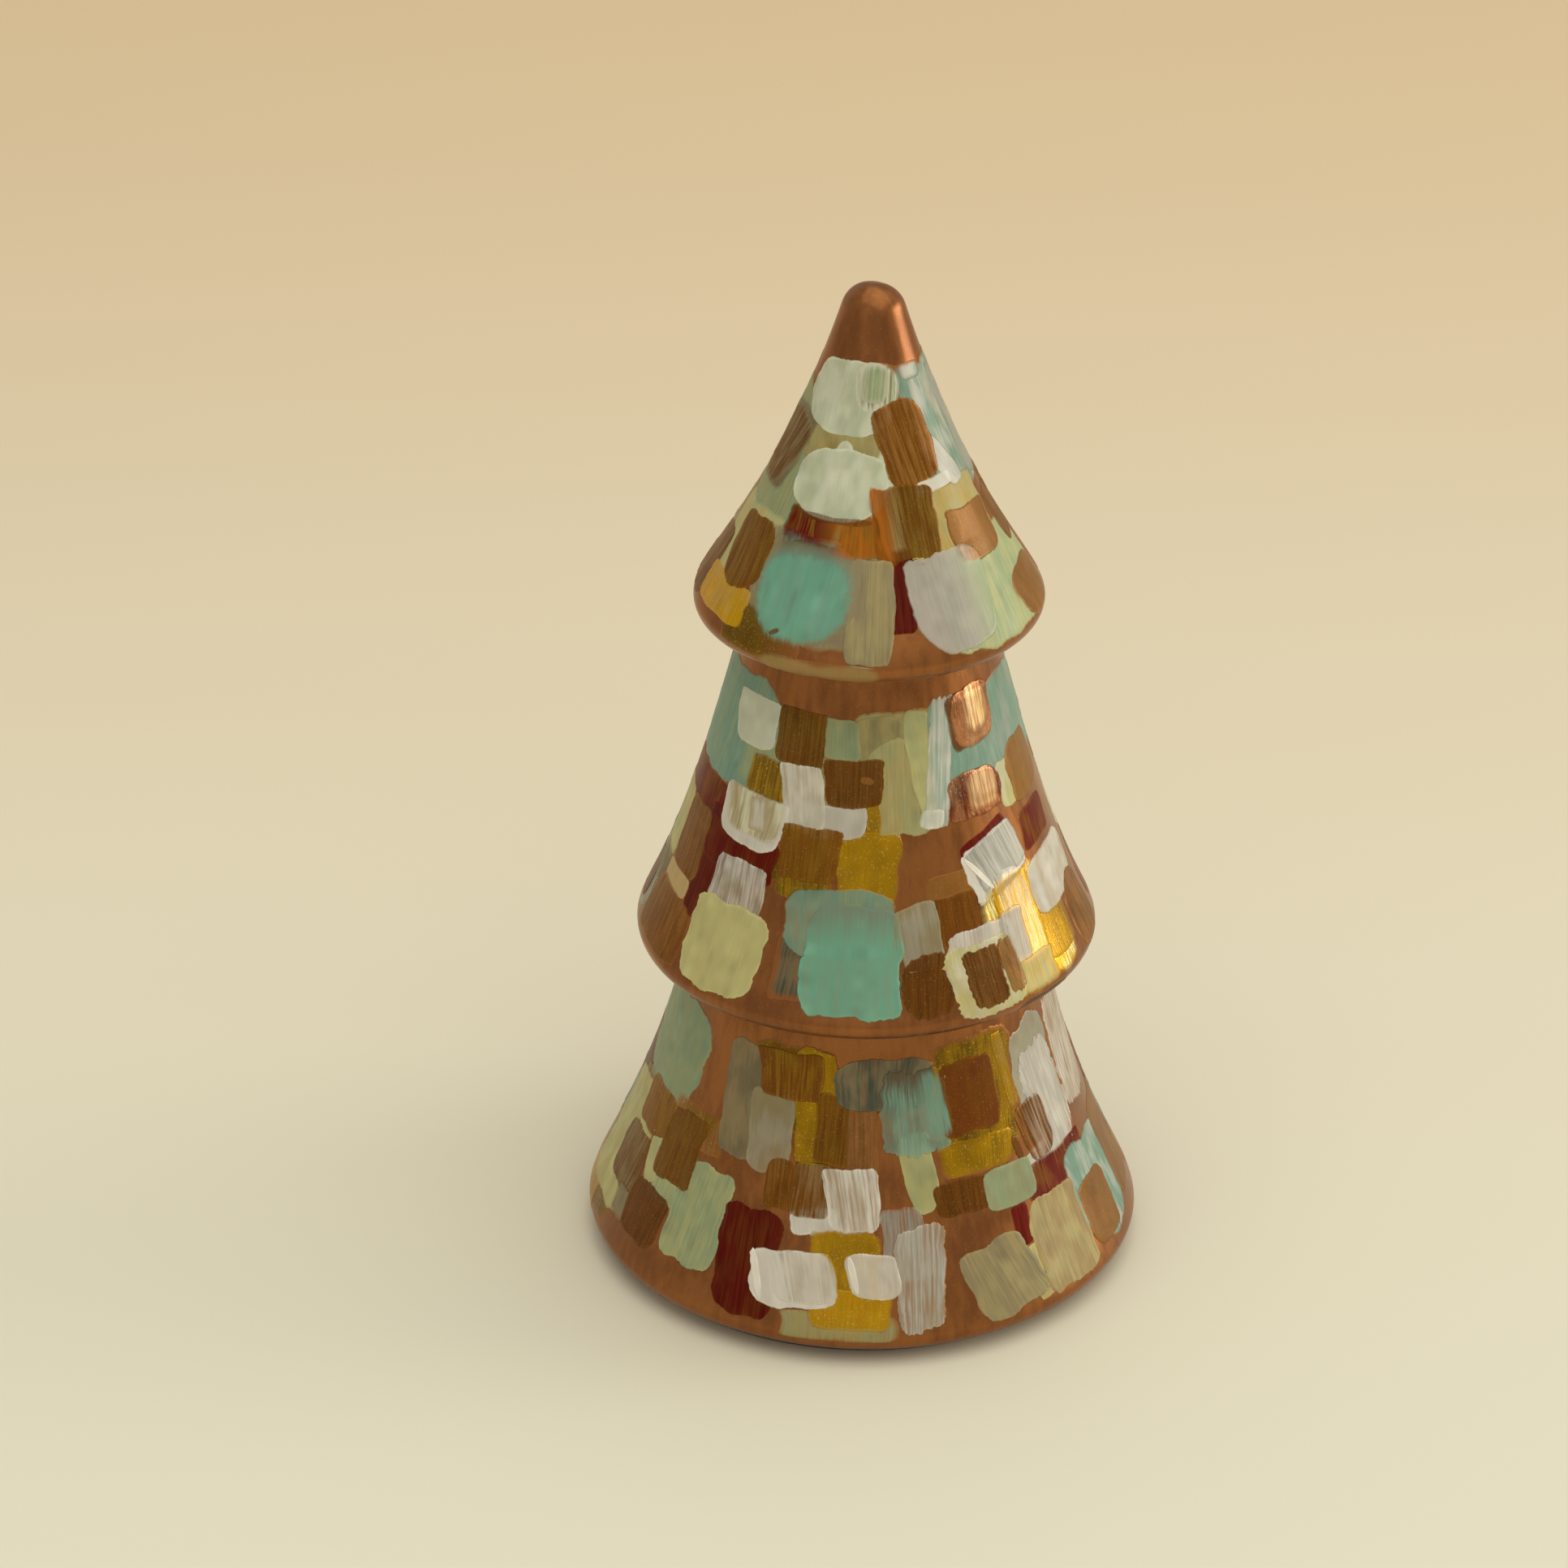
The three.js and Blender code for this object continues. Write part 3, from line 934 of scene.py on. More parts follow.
MIDDLE_DABS = (
    Dab(SAGE, -62, 12, 60, 12, KHAKI, soft=0.8, tone=0.95),
    Dab(KHAKI, -12, 13, 46, 13, OLIVE, soft=0.8, tone=0.92),
    Dab(KHAKI, 12, 12, 34, 14, SAGE, soft=0.7),
    Dab(MINT, -72, 11, 62, 14.2, SAGE, soft=0.7, head=4.4, tail=4),
    Dab(SAGE, -48, 13.6, 16, 7, KHAKI, soft=1.6, cover=0.8, tone=0.95),
    Dab(MINT, 66, 11.4, 68, 12.8, SILVER, soft=0.7, tone=1.08),
    Dab(KHAKI, 4, 8.2, 22, 5.6, SLATE, soft=0.4, head=2.8, tone=0.9),
    Dab(KHAKI, 12, 14.2, 26, 11.4, SAGE, soft=0.4, head=3.4, tail=6),
    Dab(OLIVE, -39, 15.5, 20, 6.4, GOLD, soft=0.5, tone=1.12),
    Dab(SAGE, -11.5, 8.3, 15, 4.8, KHAKI, tone=0.86, soft=0.4),
    Dab(CREAM, 21.5, 11.8, 12, 13.6, SAGE, tilt=-3, head=4, tail=3.4, soft=0.4, tone=0.93),
    Dab(MINT, 31, 11, 14, 13, SILVER, soft=0.6, tone=1.1),
    Dab(WHITE, 27.5, 12.2, 10, 15.4, MINT, tilt=7, cover=0.9, dry=0.9, soft=0.5, ragged=0.04),
    Dab(WHITE, 22.5, 18.3, 9, 2.2, MINT, tilt=8, dry=0.5, head=4, tail=3, tone=1.15),
    Dab(IVORY, -51.5, 9, 25, 6.2, WHITE, tail=4, tone=0.93, dry=0.3),
    Dab(BROWN, -28.5, 8.9, 21, 6.6, OLIVE, head=12, tail=10, tone=0.95),
    Dab(OXBLOOD, -76, 21.3, 44, 6.4, BROWN, soft=0.6, tone=1.2, amount=0.6),
    Dab(UMBER, 38, 7.8, 9, 6.8, head=4, tail=4, soft=0.4),
    Dab(COPPER, 47.5, 7.6, 24, 7, UMBER, head=4, tail=4, soft=0.4, dry=0.3, amount=0.7),
    # Painted highlight: a pale gold-white glint on the copper dab.
    Dab(PAINTED_GLINT, 49.5, 7, 15, 6, GOLD, dry=0.98, soft=1.4, cover=0.7, head=3, tail=3, tone=1.1),
    Dab(CREAM, 58.5, 17.6, 10, 5.8, WHITE, soft=0.4, head=4, tail=5, tone=1.06),
    Dab(COPPER, 41.5, 16.7, 25, 5.6, OXBLOOD, amount=0.95, head=3, tail=9, dry=0.3),
    # Painted highlight: a pale gold-white glint on the striped copper dab.
    Dab(PAINTED_GLINT, 45.5, 16.6, 15, 5, COPPER, dry=0.98, soft=1.2, cover=0.65, head=3, tail=5, tone=0.85),
    Dab(TAN, 73.5, 17.4, 26, 7.6, OLIVE, head=3.4, tail=4),
    Dab(GOLD, 0.5, 18.2, 7, 6.4, OLIVE, head=2, tail=8, soft=0.4, tone=0.8),
    Dab(GOLD, 0, 23.6, 20, 8.6, OLIVE, soft=0.5, head=5, amount=0.35, tone=0.96),
    Dab(OLIVE, -21, 26, 18, 3.8, GOLD, soft=0.5),
    Dab(OLIVE, -36, 24.6, 14, 3.6, UMBER, soft=0.8, tone=0.9),
    Dab(OXBLOOD, -56, 28, 16, 14.4, UMBER, soft=0.7, amount=0.3),
    Dab(OXBLOOD, -46, 24.6, 32, 5.6, UMBER, soft=0.6, amount=0.3, tone=1.15),
    Dab(WHITE, -13, 18.1, 23, 3.8, LAVENDER, tilt=-2, head=10, tail=5, tone=0.88, dry=0.3),
    Dab(WHITE, -24.5, 15.7, 16, 7.4, STONE, tilt=-8, head=12, tail=12, dry=0.5, tone=1.1),
    Dab(BROWN, -5.5, 13.4, 21.6, 5.6, UMBER, head=12, tail=6, tone=0.96),
    Dab(TAN, -1, 13, 5, 0.8, tilt=12, head=2, tail=2, soft=0.3, cover=0.7),
    Dab(WHITE, -44, 20.4, 28, 6.4, head=10, tail=3.8),
    Dab(STONE, -43.2, 19.6, 26, 5.4, IVORY, head=10, tail=3.8, soft=0.8, dry=0.4, tone=1.48),
    Dab(WHITE, -41, 19.4, 7, 4, tilt=-10, cover=0.6, dry=0.6, soft=1),
    Dab(BROWN, -20, 22.3, 20, 6.4, OLIVE, head=14, tail=14, tone=1.28),
    Dab(OXBLOOD, 70, 24.4, 21, 4.8, BROWN, soft=0.5, tone=1.3, amount=0.6),
    Dab(TAN, 28, 27.2, 20, 4.4, BROWN, soft=0.6, head=4, tone=1.05),
    Dab(UMBER, 28, 30.6, 19, 6.2, BROWN, soft=0.7, head=8, tail=6, tone=1.25),
    Dab(OXBLOOD, 42, 21.9, 22, 1.1, tilt=-18, soft=0.4, tone=1.2),
    Dab(WHITE, 44.6, 25.5, 24, 6.6, tilt=-17, head=9, tail=9, tone=1.05),
    Dab(SILVER, 45.8, 25.1, 22.4, 6, WHITE, tilt=-17, head=9, tail=9, soft=0.5, dry=0.5, tone=0.95),
    Dab(GOLD, 53, 34.8, 33, 14.8, CREAM, amount=0.85, soft=1.2, head=3, tone=1.1),
    Dab(GOLD, 62, 36.6, 15, 7, OLIVE, amount=0.4, soft=1.2, tone=0.85),
    # Painted highlight: a pale gold-white glint in the middle of the gold.
    Dab(PAINTED_GLINT, 49, 33.5, 17, 13, CREAM, soft=1.8, dry=0.9, cover=0.65, head=3, tail=3, tone=0.6),
    Dab(CREAM, 47, 40, 20, 4.6, GOLD, soft=1.2, dry=0.4, cover=0.75),
    Dab(WHITE, 71, 31.2, 31, 7.2, BUFF, head=3.2, tail=4, soft=0.5),
    Dab(CREAM, -87, 27, 16, 10, BUFF, soft=0.6, head=4),
    Dab(STONE, -86, 33.8, 14, 5, UMBER, soft=0.9, tone=0.8),
    Dab(BROWN, -71, 27, 18.5, 9.4, TAN, head=6, tail=5, tone=1.05),
    Dab(BUFF, -72, 32.8, 17, 2.8, soft=0.4, head=5, tail=5, tone=1.35),
    Dab(BROWN, -71, 37.8, 27, 7.8, TAN, head=4, soft=0.5, tone=1.15),
    Dab(WHITE, -43, 28.8, 20.5, 6.8, STONE, dry=0.8, tone=0.9, amount=0.7),
    Dab(CREAM, -43.5, 36.3, 26.5, 10.8, KHAKI, tail=3.6, tone=1.06, amount=0.3),
    Dab(SLATE, -21, 35.8, 10, 8, STONE, soft=1.5, cover=0.85, dry=0.4, tone=0.92),
    Dab(MINT, -8.5, 30, 33, 8.2, SAGE, head=3.2, tail=6, soft=0.5, dry=0.5, tone=0.98),
    Dab(STONE, 15, 31.8, 12.5, 7.6, SILVER, tilt=-5),
    Dab(TURQUOISE, -4.4, 34.4, 27, 13.2, MINT, head=4, tail=8, fade=Side.TOP, amount=0.35, dry=0.3,
        tone=1.04),
    Dab(UMBER, 16.5, 37.8, 15.5, 7.6, BROWN, tilt=6, head=2.4, tail=2.4, ragged=0.05),
    Dab(WHITE, 33, 34.8, 22, 5.4, LAVENDER, ragged=0.03, head=4, dry=0.5, tone=0.98),
    Dab(CREAM, 33, 38.2, 21.5, 8.6, WHITE, ragged=0.035, dry=0.4, tone=1.02),
    Dab(LAVENDER, 45, 34.8, 9, 6.6, WHITE, soft=0.7, cover=0.85, tone=0.68),
    Dab(UMBER, 32.6, 38.1, 11, 6.9, BROWN, tilt=-4, ragged=0.04, head=8, tone=1.05),
    Dab(TAN, 41, 37.9, 5.2, 6.6, BROWN, tilt=-6, ragged=0.05, dry=0.3, head=5, tail=5, tone=0.9),
    Dab(BROWN, 79.5, 38.1, 17.5, 9.6, TAN, head=2.4, tail=2.6, amount=0.7, tone=1.15),
    # A dark streak near the rim, where it turns under: painted shade.
    Dab(SLATE, 51, 43.6, 19, 1.8, soft=0.6, cover=0.7, head=4, tail=4, tone=0.32),
    Dab(WHITE, 37, 26.2, 1.4, 5.6, tilt=-38, head=2, tail=2, tone=1.3),
)
BOTTOM_DABS = (
    Dab(SAGE, -73, 11.2, 39, 13.8, MINT, head=3.4, tail=3, soft=0.4, tone=0.95),
    Dab(OLIVE, -22, 9, 28, 11, BROWN, soft=1, tone=0.9),
    Dab(OLIVE, -74, 20, 26, 5, UMBER, soft=1),
    Dab(OLIVE, -52, 18, 22, 5, COPPER, soft=1.2, cover=0.8),
    Dab(GOLD, 33, 11.6, 28, 16.6, OLIVE, soft=1.2, amount=0.95, tone=0.66),
    Dab(STONE, -37.5, 12, 12.5, 14.4, SLATE, soft=0.3, dry=0.4, tone=0.95, head=5),
    Dab(STONE, -27, 14.9, 13, 10, SILVER, soft=0.3, dry=0.4, tail=6, tone=1.05),
    Dab(GOLD, -14.5, 11, 12, 14.4, OLIVE, soft=0.4, tone=0.76, amount=0.35),
    Dab(UMBER, -22.5, 7.4, 20, 5.8, OLIVE, head=12, tail=12, soft=0.3, amount=0.7, tone=1.48),
    Dab(BROWN, -8.5, 13.4, 11, 8.6, OLIVE, soft=0.4, tone=1.06),
    Dab(TAN, -1, 14.6, 8.5, 9.6, COPPER, soft=0.6, tone=0.78),
    Dab(CREAM, 14.3, 18.8, 8.6, 9.8, SAGE, tilt=-10, tail=2.4, tone=0.86),
    Dab(SLATE, 5.5, 7.6, 29, 6.4, STONE, soft=0.4, head=3, tail=5, dry=0.5, tone=1.22),
    Dab(MINT, 14, 11.2, 19.4, 10.2, SLATE, soft=0.4, dry=0.7, fade=Side.TOP, ragged=0.05, tone=1.12),
    Dab(UMBER, 31, 10.6, 18, 9, OXBLOOD, head=10, tail=10, soft=0.3, amount=0.4, tone=1.32),
    Dab(GOLD, 31, 18, 22, 4.4, OLIVE, soft=1.2, tone=0.84, amount=0.5),
    Dab(GOLD, 44.5, 9, 4, 10, BUFF, tilt=-4, soft=0.8, cover=0.7, tone=0.75),
    Dab(WHITE, 80, 12.6, 22, 15, STONE, tilt=4, dry=0.85, soft=0.7, cover=0.95, ragged=0.03),
    Dab(SILVER, 58, 13.4, 20, 17, SAGE, tilt=-4, dry=0.6, soft=0.4, head=5, tail=3.4),
    Dab(WHITE, 60, 15.4, 18, 14.8, SILVER, tilt=-8, dry=0.95, soft=0.5, head=4, tail=3.4, ragged=0.05),
    Dab(WHITE, 50, 21.4, 9, 2.4, SILVER, tilt=-8, dry=0.4, head=4, tail=3),
    Dab(BROWN, 51.5, 18, 11.5, 7.6, TAN, tilt=-10, dry=0.6, soft=0.4, head=4, tail=4, tone=0.86),
    Dab(UMBER, 43.6, 19, 2.4, 3.6, tilt=-14, head=2, tail=2, ragged=0.05),
    Dab(CREAM, -82, 27, 28, 17, BUFF, soft=0.7, head=4),
    Dab(BROWN, -70, 20, 17, 6.4, OLIVE, soft=0.4, tone=1.4),
    Dab(BROWN, -74, 28, 15.5, 8, STONE, head=6, tail=4),
    Dab(STONE, -69.5, 33, 7, 4, soft=0.8, tone=0.85),
    Dab(CREAM, -62.5, 25.2, 8, 5.8, SAGE, tilt=-14, head=4, tail=6),
    Dab(SAGE, -51, 27.6, 20, 2.8, CREAM),
    Dab(SAGE, -43.5, 28, 16.5, 12.6, CREAM, tilt=5, tail=6, tone=0.98),
    Dab(BROWN, -55, 21.7, 14.6, 9.2, OLIVE, head=14, tail=14, tone=1.06),
    Dab(UMBER, -60, 31.8, 14.5, 7.2, BROWN, head=4.4, tail=4.4),
    Dab(OXBLOOD, -27.5, 30.8, 15.5, 13, UMBER, head=8, tail=4.4, amount=0.3),
    Dab(OXBLOOD, 57, 24, 27, 4.4, BROWN, soft=0.6, tone=1.3, amount=0.6),
    Dab(OXBLOOD, 39.5, 28, 4.6, 5, soft=0.3, tone=1.3),
    Dab(BROWN, -22, 20.8, 8, 6, TAN, head=4, tone=1.05),
    Dab(WHITE, -12.6, 24.6, 12, 3, tilt=-12, head=4, tail=4, tone=1.02),
    Dab(BROWN, -14, 20.8, 10, 6.6, STONE, soft=0.4, dry=0.4, tone=1.14),
    Dab(WHITE, -3.2, 21.7, 13.4, 7.8, STONE, tilt=-8, dry=0.75, head=10, tail=4.4, soft=0.3, tone=1.16),
    Dab(UMBER, 25.2, 22.4, 15.4, 4.2, BROWN, head=4, tail=6),
    Dab(SAGE, 39, 22.9, 15.5, 5.2, STONE, tail=4, tone=0.96),
    Dab(MINT, 70, 30, 24, 13.4, WHITE, soft=0.6, tone=1.06, head=5, tail=3),
    Dab(TAN, 67, 32.2, 14, 8.6, BROWN, head=4.4, tail=4.4, tone=0.92),
    Dab(TAN, 88, 29, 17, 13, BROWN, soft=0.5, tone=0.9),
    Dab(GOLD, -4, 31.5, 16, 12.6, OLIVE, soft=0.8, amount=0.5),
    Dab(KHAKI, -6, 37, 25, 3.4, SAGE, soft=0.9, dry=0.4, cover=0.85, tone=0.96),
    Dab(GOLD, -3, 34.8, 18, 4.8, AMBER, soft=0.8, amount=0.25, tone=1.14),
    Dab(SILVER, 9, 27.2, 10, 8.8, STONE, dry=0.8, cover=0.8, soft=0.5, tone=0.92),
    Dab(SILVER, 12.6, 31.4, 11, 12.4, STONE, dry=0.95, cover=0.95, soft=0.3, ragged=0.03, tone=1.38),
    Dab(KHAKI, 41.4, 34.2, 6, 6.8, CREAM, tilt=-12, tone=1.06),
    Dab(STONE, 32.2, 33.2, 17.2, 9.2, KHAKI, tilt=-12, head=8, lean=6),
    Dab(BUFF, 50.8, 31.9, 17.5, 11.8, CREAM, tilt=-4, head=6, tail=9, tone=0.95),
    Dab(LAVENDER, 2, 30.8, 11.6, 5.4, WHITE, head=6, tail=3.4, soft=0.3, lean=10, dry=0.7, amount=0.7,
        tone=1.26),
    Dab(WHITE, -16.6, 31.9, 19, 6.8, LAVENDER, tilt=-6, head=6, tail=4, tone=1.16, lean=10),
    Dab(LAVENDER, -13.6, 31.5, 15, 6.2, STONE, tilt=-6, head=6, tail=4, soft=0.7, dry=0.9, lean=10,
        fade=Side.LEFT, tone=1.32),
    Dab(WHITE, -24.6, 32, 1.5, 6.2, tilt=-16, head=2, tail=2, tone=1.3),
    Dab(WHITE, -2.6, 30.6, 1.3, 4.6, tilt=-14, head=2, tail=2, tone=1.25),
    Dab(MINT, 19.4, 10.4, 9.4, 9.2, TURQUOISE, tilt=-5, head=2.3, tail=4, soft=1.6, dry=0.8, cover=0.8,
        fade=Side.LEFT, tone=1.05),
)
BACK_FROM, BACK_TO = 90.0, 262.0
SMALL_STROKE_SHARE = 0.35


@dataclass(frozen=True)
class BackRow:
    """A row of dabs round the side that is turned away: where it runs, and how long its strokes are."""

    down: float
    long: float


def back_dabs(rows: tuple[BackRow, ...], seed: int) -> list[Dab]:
    """Fills the back in the same hand as the front.

    Each row steps round from one side to the other by strokes of random width, and every stroke takes a
    paint that differs from its neighbours. Small bronze strokes then go over the row below them.

    Args:
        rows: the rows, from the top down.
        seed: the random seed.

    Returns:
        The dabs in the order they were painted.
    """
    rng = np.random.default_rng(seed)
    pale = [MINT, SAGE, IVORY, CREAM, KHAKI, WHITE, STONE, SILVER, TURQUOISE, LAVENDER, BUFF]
    deep = [BROWN, OXBLOOD, GOLD, OLIVE, TAN, UMBER, BROWN, GOLD]
    under, over = [], []
    for number, row in enumerate(rows):
        angle = BACK_FROM + rng.uniform(0, 6)
        use_pale = number % 2 == 0
        while angle < BACK_TO:
            span = rng.uniform(15, 30)
            pots = pale if use_pale else deep
            paint = pots[rng.integers(len(pots))]
            load = pots[rng.integers(len(pots))]
            stroke = Dab(
                paint, angle + span / 2, row.down + rng.uniform(-1.5, 1.5), span * rng.uniform(0.92, 1.12),
                row.long * rng.uniform(0.8, 1.2), tilt=rng.uniform(-9, 9), load=load,
                amount=rng.uniform(0.3, 0.7), head=rng.uniform(2.6, 8), tail=rng.uniform(2.6, 7),
                soft=rng.choice([0.3, 0.3, 0.6, 1.2]), dry=rng.choice([0.1, 0.2, 0.5, 0.8]),
                ragged=rng.uniform(0.01, 0.04), tone=rng.uniform(0.9, 1.08),
            )
            (under if use_pale else over).append(stroke)
            if rng.uniform() < SMALL_STROKE_SHARE:
                over.append(Dab(
                    deep[rng.integers(len(deep))], angle + rng.uniform(0, span), row.down + rng.uniform(2, 5),
                    rng.uniform(11, 17), rng.uniform(5, 8), tilt=rng.uniform(-10, 10), load=TAN,
                    head=rng.uniform(3, 8), tail=rng.uniform(3, 6),
                ))
            angle += span * rng.uniform(0.85, 1.05)
            use_pale = rng.uniform() < (0.75 if not use_pale else 0.4)
    return under + over


def waves(values: np.ndarray, seed: int, slowest: float, fastest: float, count: int = 7) -> np.ndarray:
    """Smooth random relief from about -1 to 1: a sum of sine waves with random speeds and starts."""
    rng = np.random.default_rng(seed)
    speeds = np.geomspace(slowest, fastest, count) * rng.uniform(0.8, 1.2, count)
    starts = rng.uniform(0, 2 * math.pi, count)
    return np.sin(2 * math.pi * values[..., None] * speeds + starts).sum(axis=-1) / math.sqrt(count)


def eased(share: np.ndarray) -> np.ndarray:
    """A share from 0 to 1 with soft ends: three times its square less twice its cube."""
    return share * share * (3 - 2 * share)


@dataclass
class Stroke:
    """A dab laid on a tier: its grid of points, its relief, and what lies under it."""

    dab: Dab
    outline: Outline
    seed: int
    edge: float = 0.28
    bristle_step: float = 0.26
    length_step: float = 0.36
    sink: float = 0.03
    creep: float = 0.12
    waver: float = 0.05
    lean: float = field(init=False)
    taper: float = field(init=False)

    def __post_init__(self) -> None:
        """Settles how far the hand let the stroke lean and narrow."""
        rng = np.random.default_rng(self.seed)
        self.lean = math.tan(math.radians(self.dab.lean + rng.uniform(-4, 4)))
        self.taper = rng.uniform(-0.08, 0.08)

    @property
    def crisp(self) -> bool:
        """Whether the paint ends in a clean edge."""
        return self.dab.soft < 0.5

    @property
    def half_wide(self) -> float:
        """Half the stroke's width in mm at its middle, with the creep of wet paint past the brush."""
        return math.radians(self.dab.span) * float(self.outline.radius(self.dab.down)) / 2 + self.creep

    @property
    def half_long(self) -> float:
        """Half the stroke's length in mm, with the same creep."""
        return self.dab.long / 2 + self.creep

    def squareness(self, along: np.ndarray) -> np.ndarray:
        """The outline's exponent: the head's above the middle and the tail's below it."""
        return np.where(along < 0, self.dab.head, self.dab.tail)

    def reach(self, wide: np.ndarray, long: np.ndarray) -> tuple[np.ndarray, np.ndarray]:
        """How far out places in the stroke are.

        The outline is a superellipse: across and along, each as a share of its half size, raised to the
        exponent, add up to one on it.

        Args:
            wide, long: mm from the stroke's middle.

        Returns:
            The share of the way to the outline, and the mm that are left.
        """
        power = self.squareness(long)
        share = np.abs(wide / self.half_wide) ** power + np.abs(long / self.half_long) ** power
        share = share ** (1 / power)
        ray = np.hypot(wide, long) / np.maximum(share, 1e-6)
        ray = np.where(share < 1e-3, min(self.half_wide, self.half_long), ray)
        return share, (1 - share) * ray

    def left(self, wide: np.ndarray, long: np.ndarray) -> np.ndarray:
        """How many mm are left to the outline, and none outside it."""
        return np.clip(self.reach(wide, long)[1], 0, None)

    def drift(self, values: np.ndarray, part: int, slowest: float, fastest: float,
              count: int = 7) -> np.ndarray:
        """Smooth random relief of this stroke's own, a different one for each part."""
        return waves(values, self.seed + part, slowest, fastest, count)

    def grid(self) -> tuple[np.ndarray, np.ndarray, np.ndarray, np.ndarray]:
        """Lays a grid over the stroke, closer together near its edges.

        Each point of a square is drawn in to the outline along its own ray from the middle.

        Returns:
            The square's across and along from -1 to 1, and the same points in mm.
        """
        columns = max(14, math.ceil(2 * self.half_wide / self.bristle_step))
        rows = max(12, math.ceil(2 * self.half_long / self.length_step))
        across, along = (np.linspace(-1, 1, count) for count in (columns, rows))
        across, along = (0.5 * run + 0.5 * np.sin(run * math.pi / 2) for run in (across, along))
        across, along = np.meshgrid(across, along)
        power = self.squareness(along)
        far = np.maximum(np.maximum(np.abs(across), np.abs(along)), 1e-9)
        pull = (np.abs(across / far) ** power + np.abs(along / far) ** power) ** (1 / power)
        pull = np.maximum(pull, 0.5)
        return across, along, across / pull * self.half_wide, along / pull * self.half_long

    def own_lift(self, wide: np.ndarray, long: np.ndarray) -> np.ndarray:
        """The paint's thickness in mm: a ramp up from the edge, a slight lip, and faint bristle scores."""
        left = self.left(wide, long)
        ramp = eased(np.clip(left / max(self.edge, 0.6 * self.dab.soft), 0, 1))
        lip = np.exp(-((left - 1.2 * self.edge) / (0.8 * self.edge)) ** 2)
        lip = lip * np.where(long > 0, 1.0, 0.4) * (0.5 if self.crisp else 0.15)
        scores = self.drift(wide, 0, 0.35, 1.8) * np.clip(left / (2 * self.edge), 0, 1)
        return self.dab.thick * (ramp * (1 + lip) + (0.07 + 0.1 * self.dab.dry) * scores)

    def cover(self, wide: np.ndarray, long: np.ndarray) -> np.ndarray:
        """How well the paint hides what is under it, from 0 to 1, fading at the edges and to one side."""
        dab = self.dab
        hidden = eased(np.clip((self.left(wide, long) + 0.04) / dab.soft, 0, 1))
        sideways, downwards = dab.fade.value
        room = 1 - sideways * wide / self.half_wide - downwards * long / self.half_long
        faded = np.clip(room / 0.9, 0, 1) if dab.fade is not Side.NONE else 1.0
        return dab.cover * hidden * faded

    def spread(self, wide: np.ndarray, long: np.ndarray) -> tuple[np.ndarray, np.ndarray]:
        """Carries places in the stroke onto the tier.

        The sides waver a little, the ends are as ragged as the bristles left them, and the whole is turned by
        its tilt.

        Args:
            wide, long: mm from the stroke's middle.

        Returns:
            The angle round the tier in radians, and the length down it in mm.
        """
        dab = self.dab
        edge = np.abs(wide / self.half_wide) ** 3
        wide = wide * (1 + self.taper * long / self.half_long) + self.lean * long
        wide = wide + self.waver * self.half_wide * self.drift(long, 1, 0.06, 0.26, 4) * edge
        end = np.abs(long / self.half_long) ** 4
        lobes = self.waver * self.drift(wide, 2, 0.06, 0.25, 4)
        lobes = lobes + dab.ragged * self.drift(wide, 3, 0.5, 1.8, 5)
        side = dab.ragged * self.drift(long, 4, 0.5, 1.8, 5) * edge * self.half_wide
        long = long + lobes * self.half_long * end
        wide = wide + side
        turn = math.radians(dab.tilt)
        down = dab.down + long * math.cos(turn) + wide * math.sin(turn)
        down = np.clip(down, 0.2, self.outline.length[-1] - 0.2)
        sideways = wide * math.cos(turn) - long * math.sin(turn)
        return math.radians(dab.angle) + sideways / self.outline.radius(down), down

    def locate(self, angle: np.ndarray, down: np.ndarray) -> tuple[np.ndarray, np.ndarray]:
        """Finds where places on the tier fall in this stroke: the reverse of spread, without its waver.

        Args:
            angle, down: radians round the tier, and mm down it.

        Returns:
            The mm across and along from the stroke's middle.
        """
        away = np.angle(np.exp(1j * (angle - math.radians(self.dab.angle))))
        sideways = away * self.outline.radius(down)
        turn = math.radians(self.dab.tilt)
        below = down - self.dab.down
        wide = sideways * math.cos(turn) + below * math.sin(turn)
        long = below * math.cos(turn) - sideways * math.sin(turn)
        return (wide - self.lean * long) / (1 + self.taper * np.clip(long / self.half_long, -1, 1)), long

    def shade(self, wide: np.ndarray, long: np.ndarray) -> np.ndarray:
        """How light the paint looks: blotches from drying, and a paler rim at a crisp edge where it stood
        thick, a painted highlight on that ridge.
        """
        blotches = self.drift(wide, 5, 0.07, 0.45, 4) * self.drift(long, 6, 0.06, 0.35, 4)
        broken = np.clip(0.6 + 0.5 * self.drift(wide + long, 7, 0.1, 0.5, 3), 0, 1)
        # The paler rim is painted highlight where the ridge at a crisp edge catches the light.
        rim = np.exp(-((self.left(wide, long) - 0.15) / 0.22) ** 2) * broken
        return 1 + 0.07 * blotches + (0.22 if self.crisp else 0.0) * rim


@dataclass
class StrokeMesh:
    """A finished stroke's arrays, ready to be joined to others."""

    points: np.ndarray
    quads: np.ndarray
    fans: np.ndarray
    stroke_uv: np.ndarray
    sheet_uv: np.ndarray
    pigment: np.ndarray
    brush_load: np.ndarray
    beneath: np.ndarray
    dryness: np.ndarray


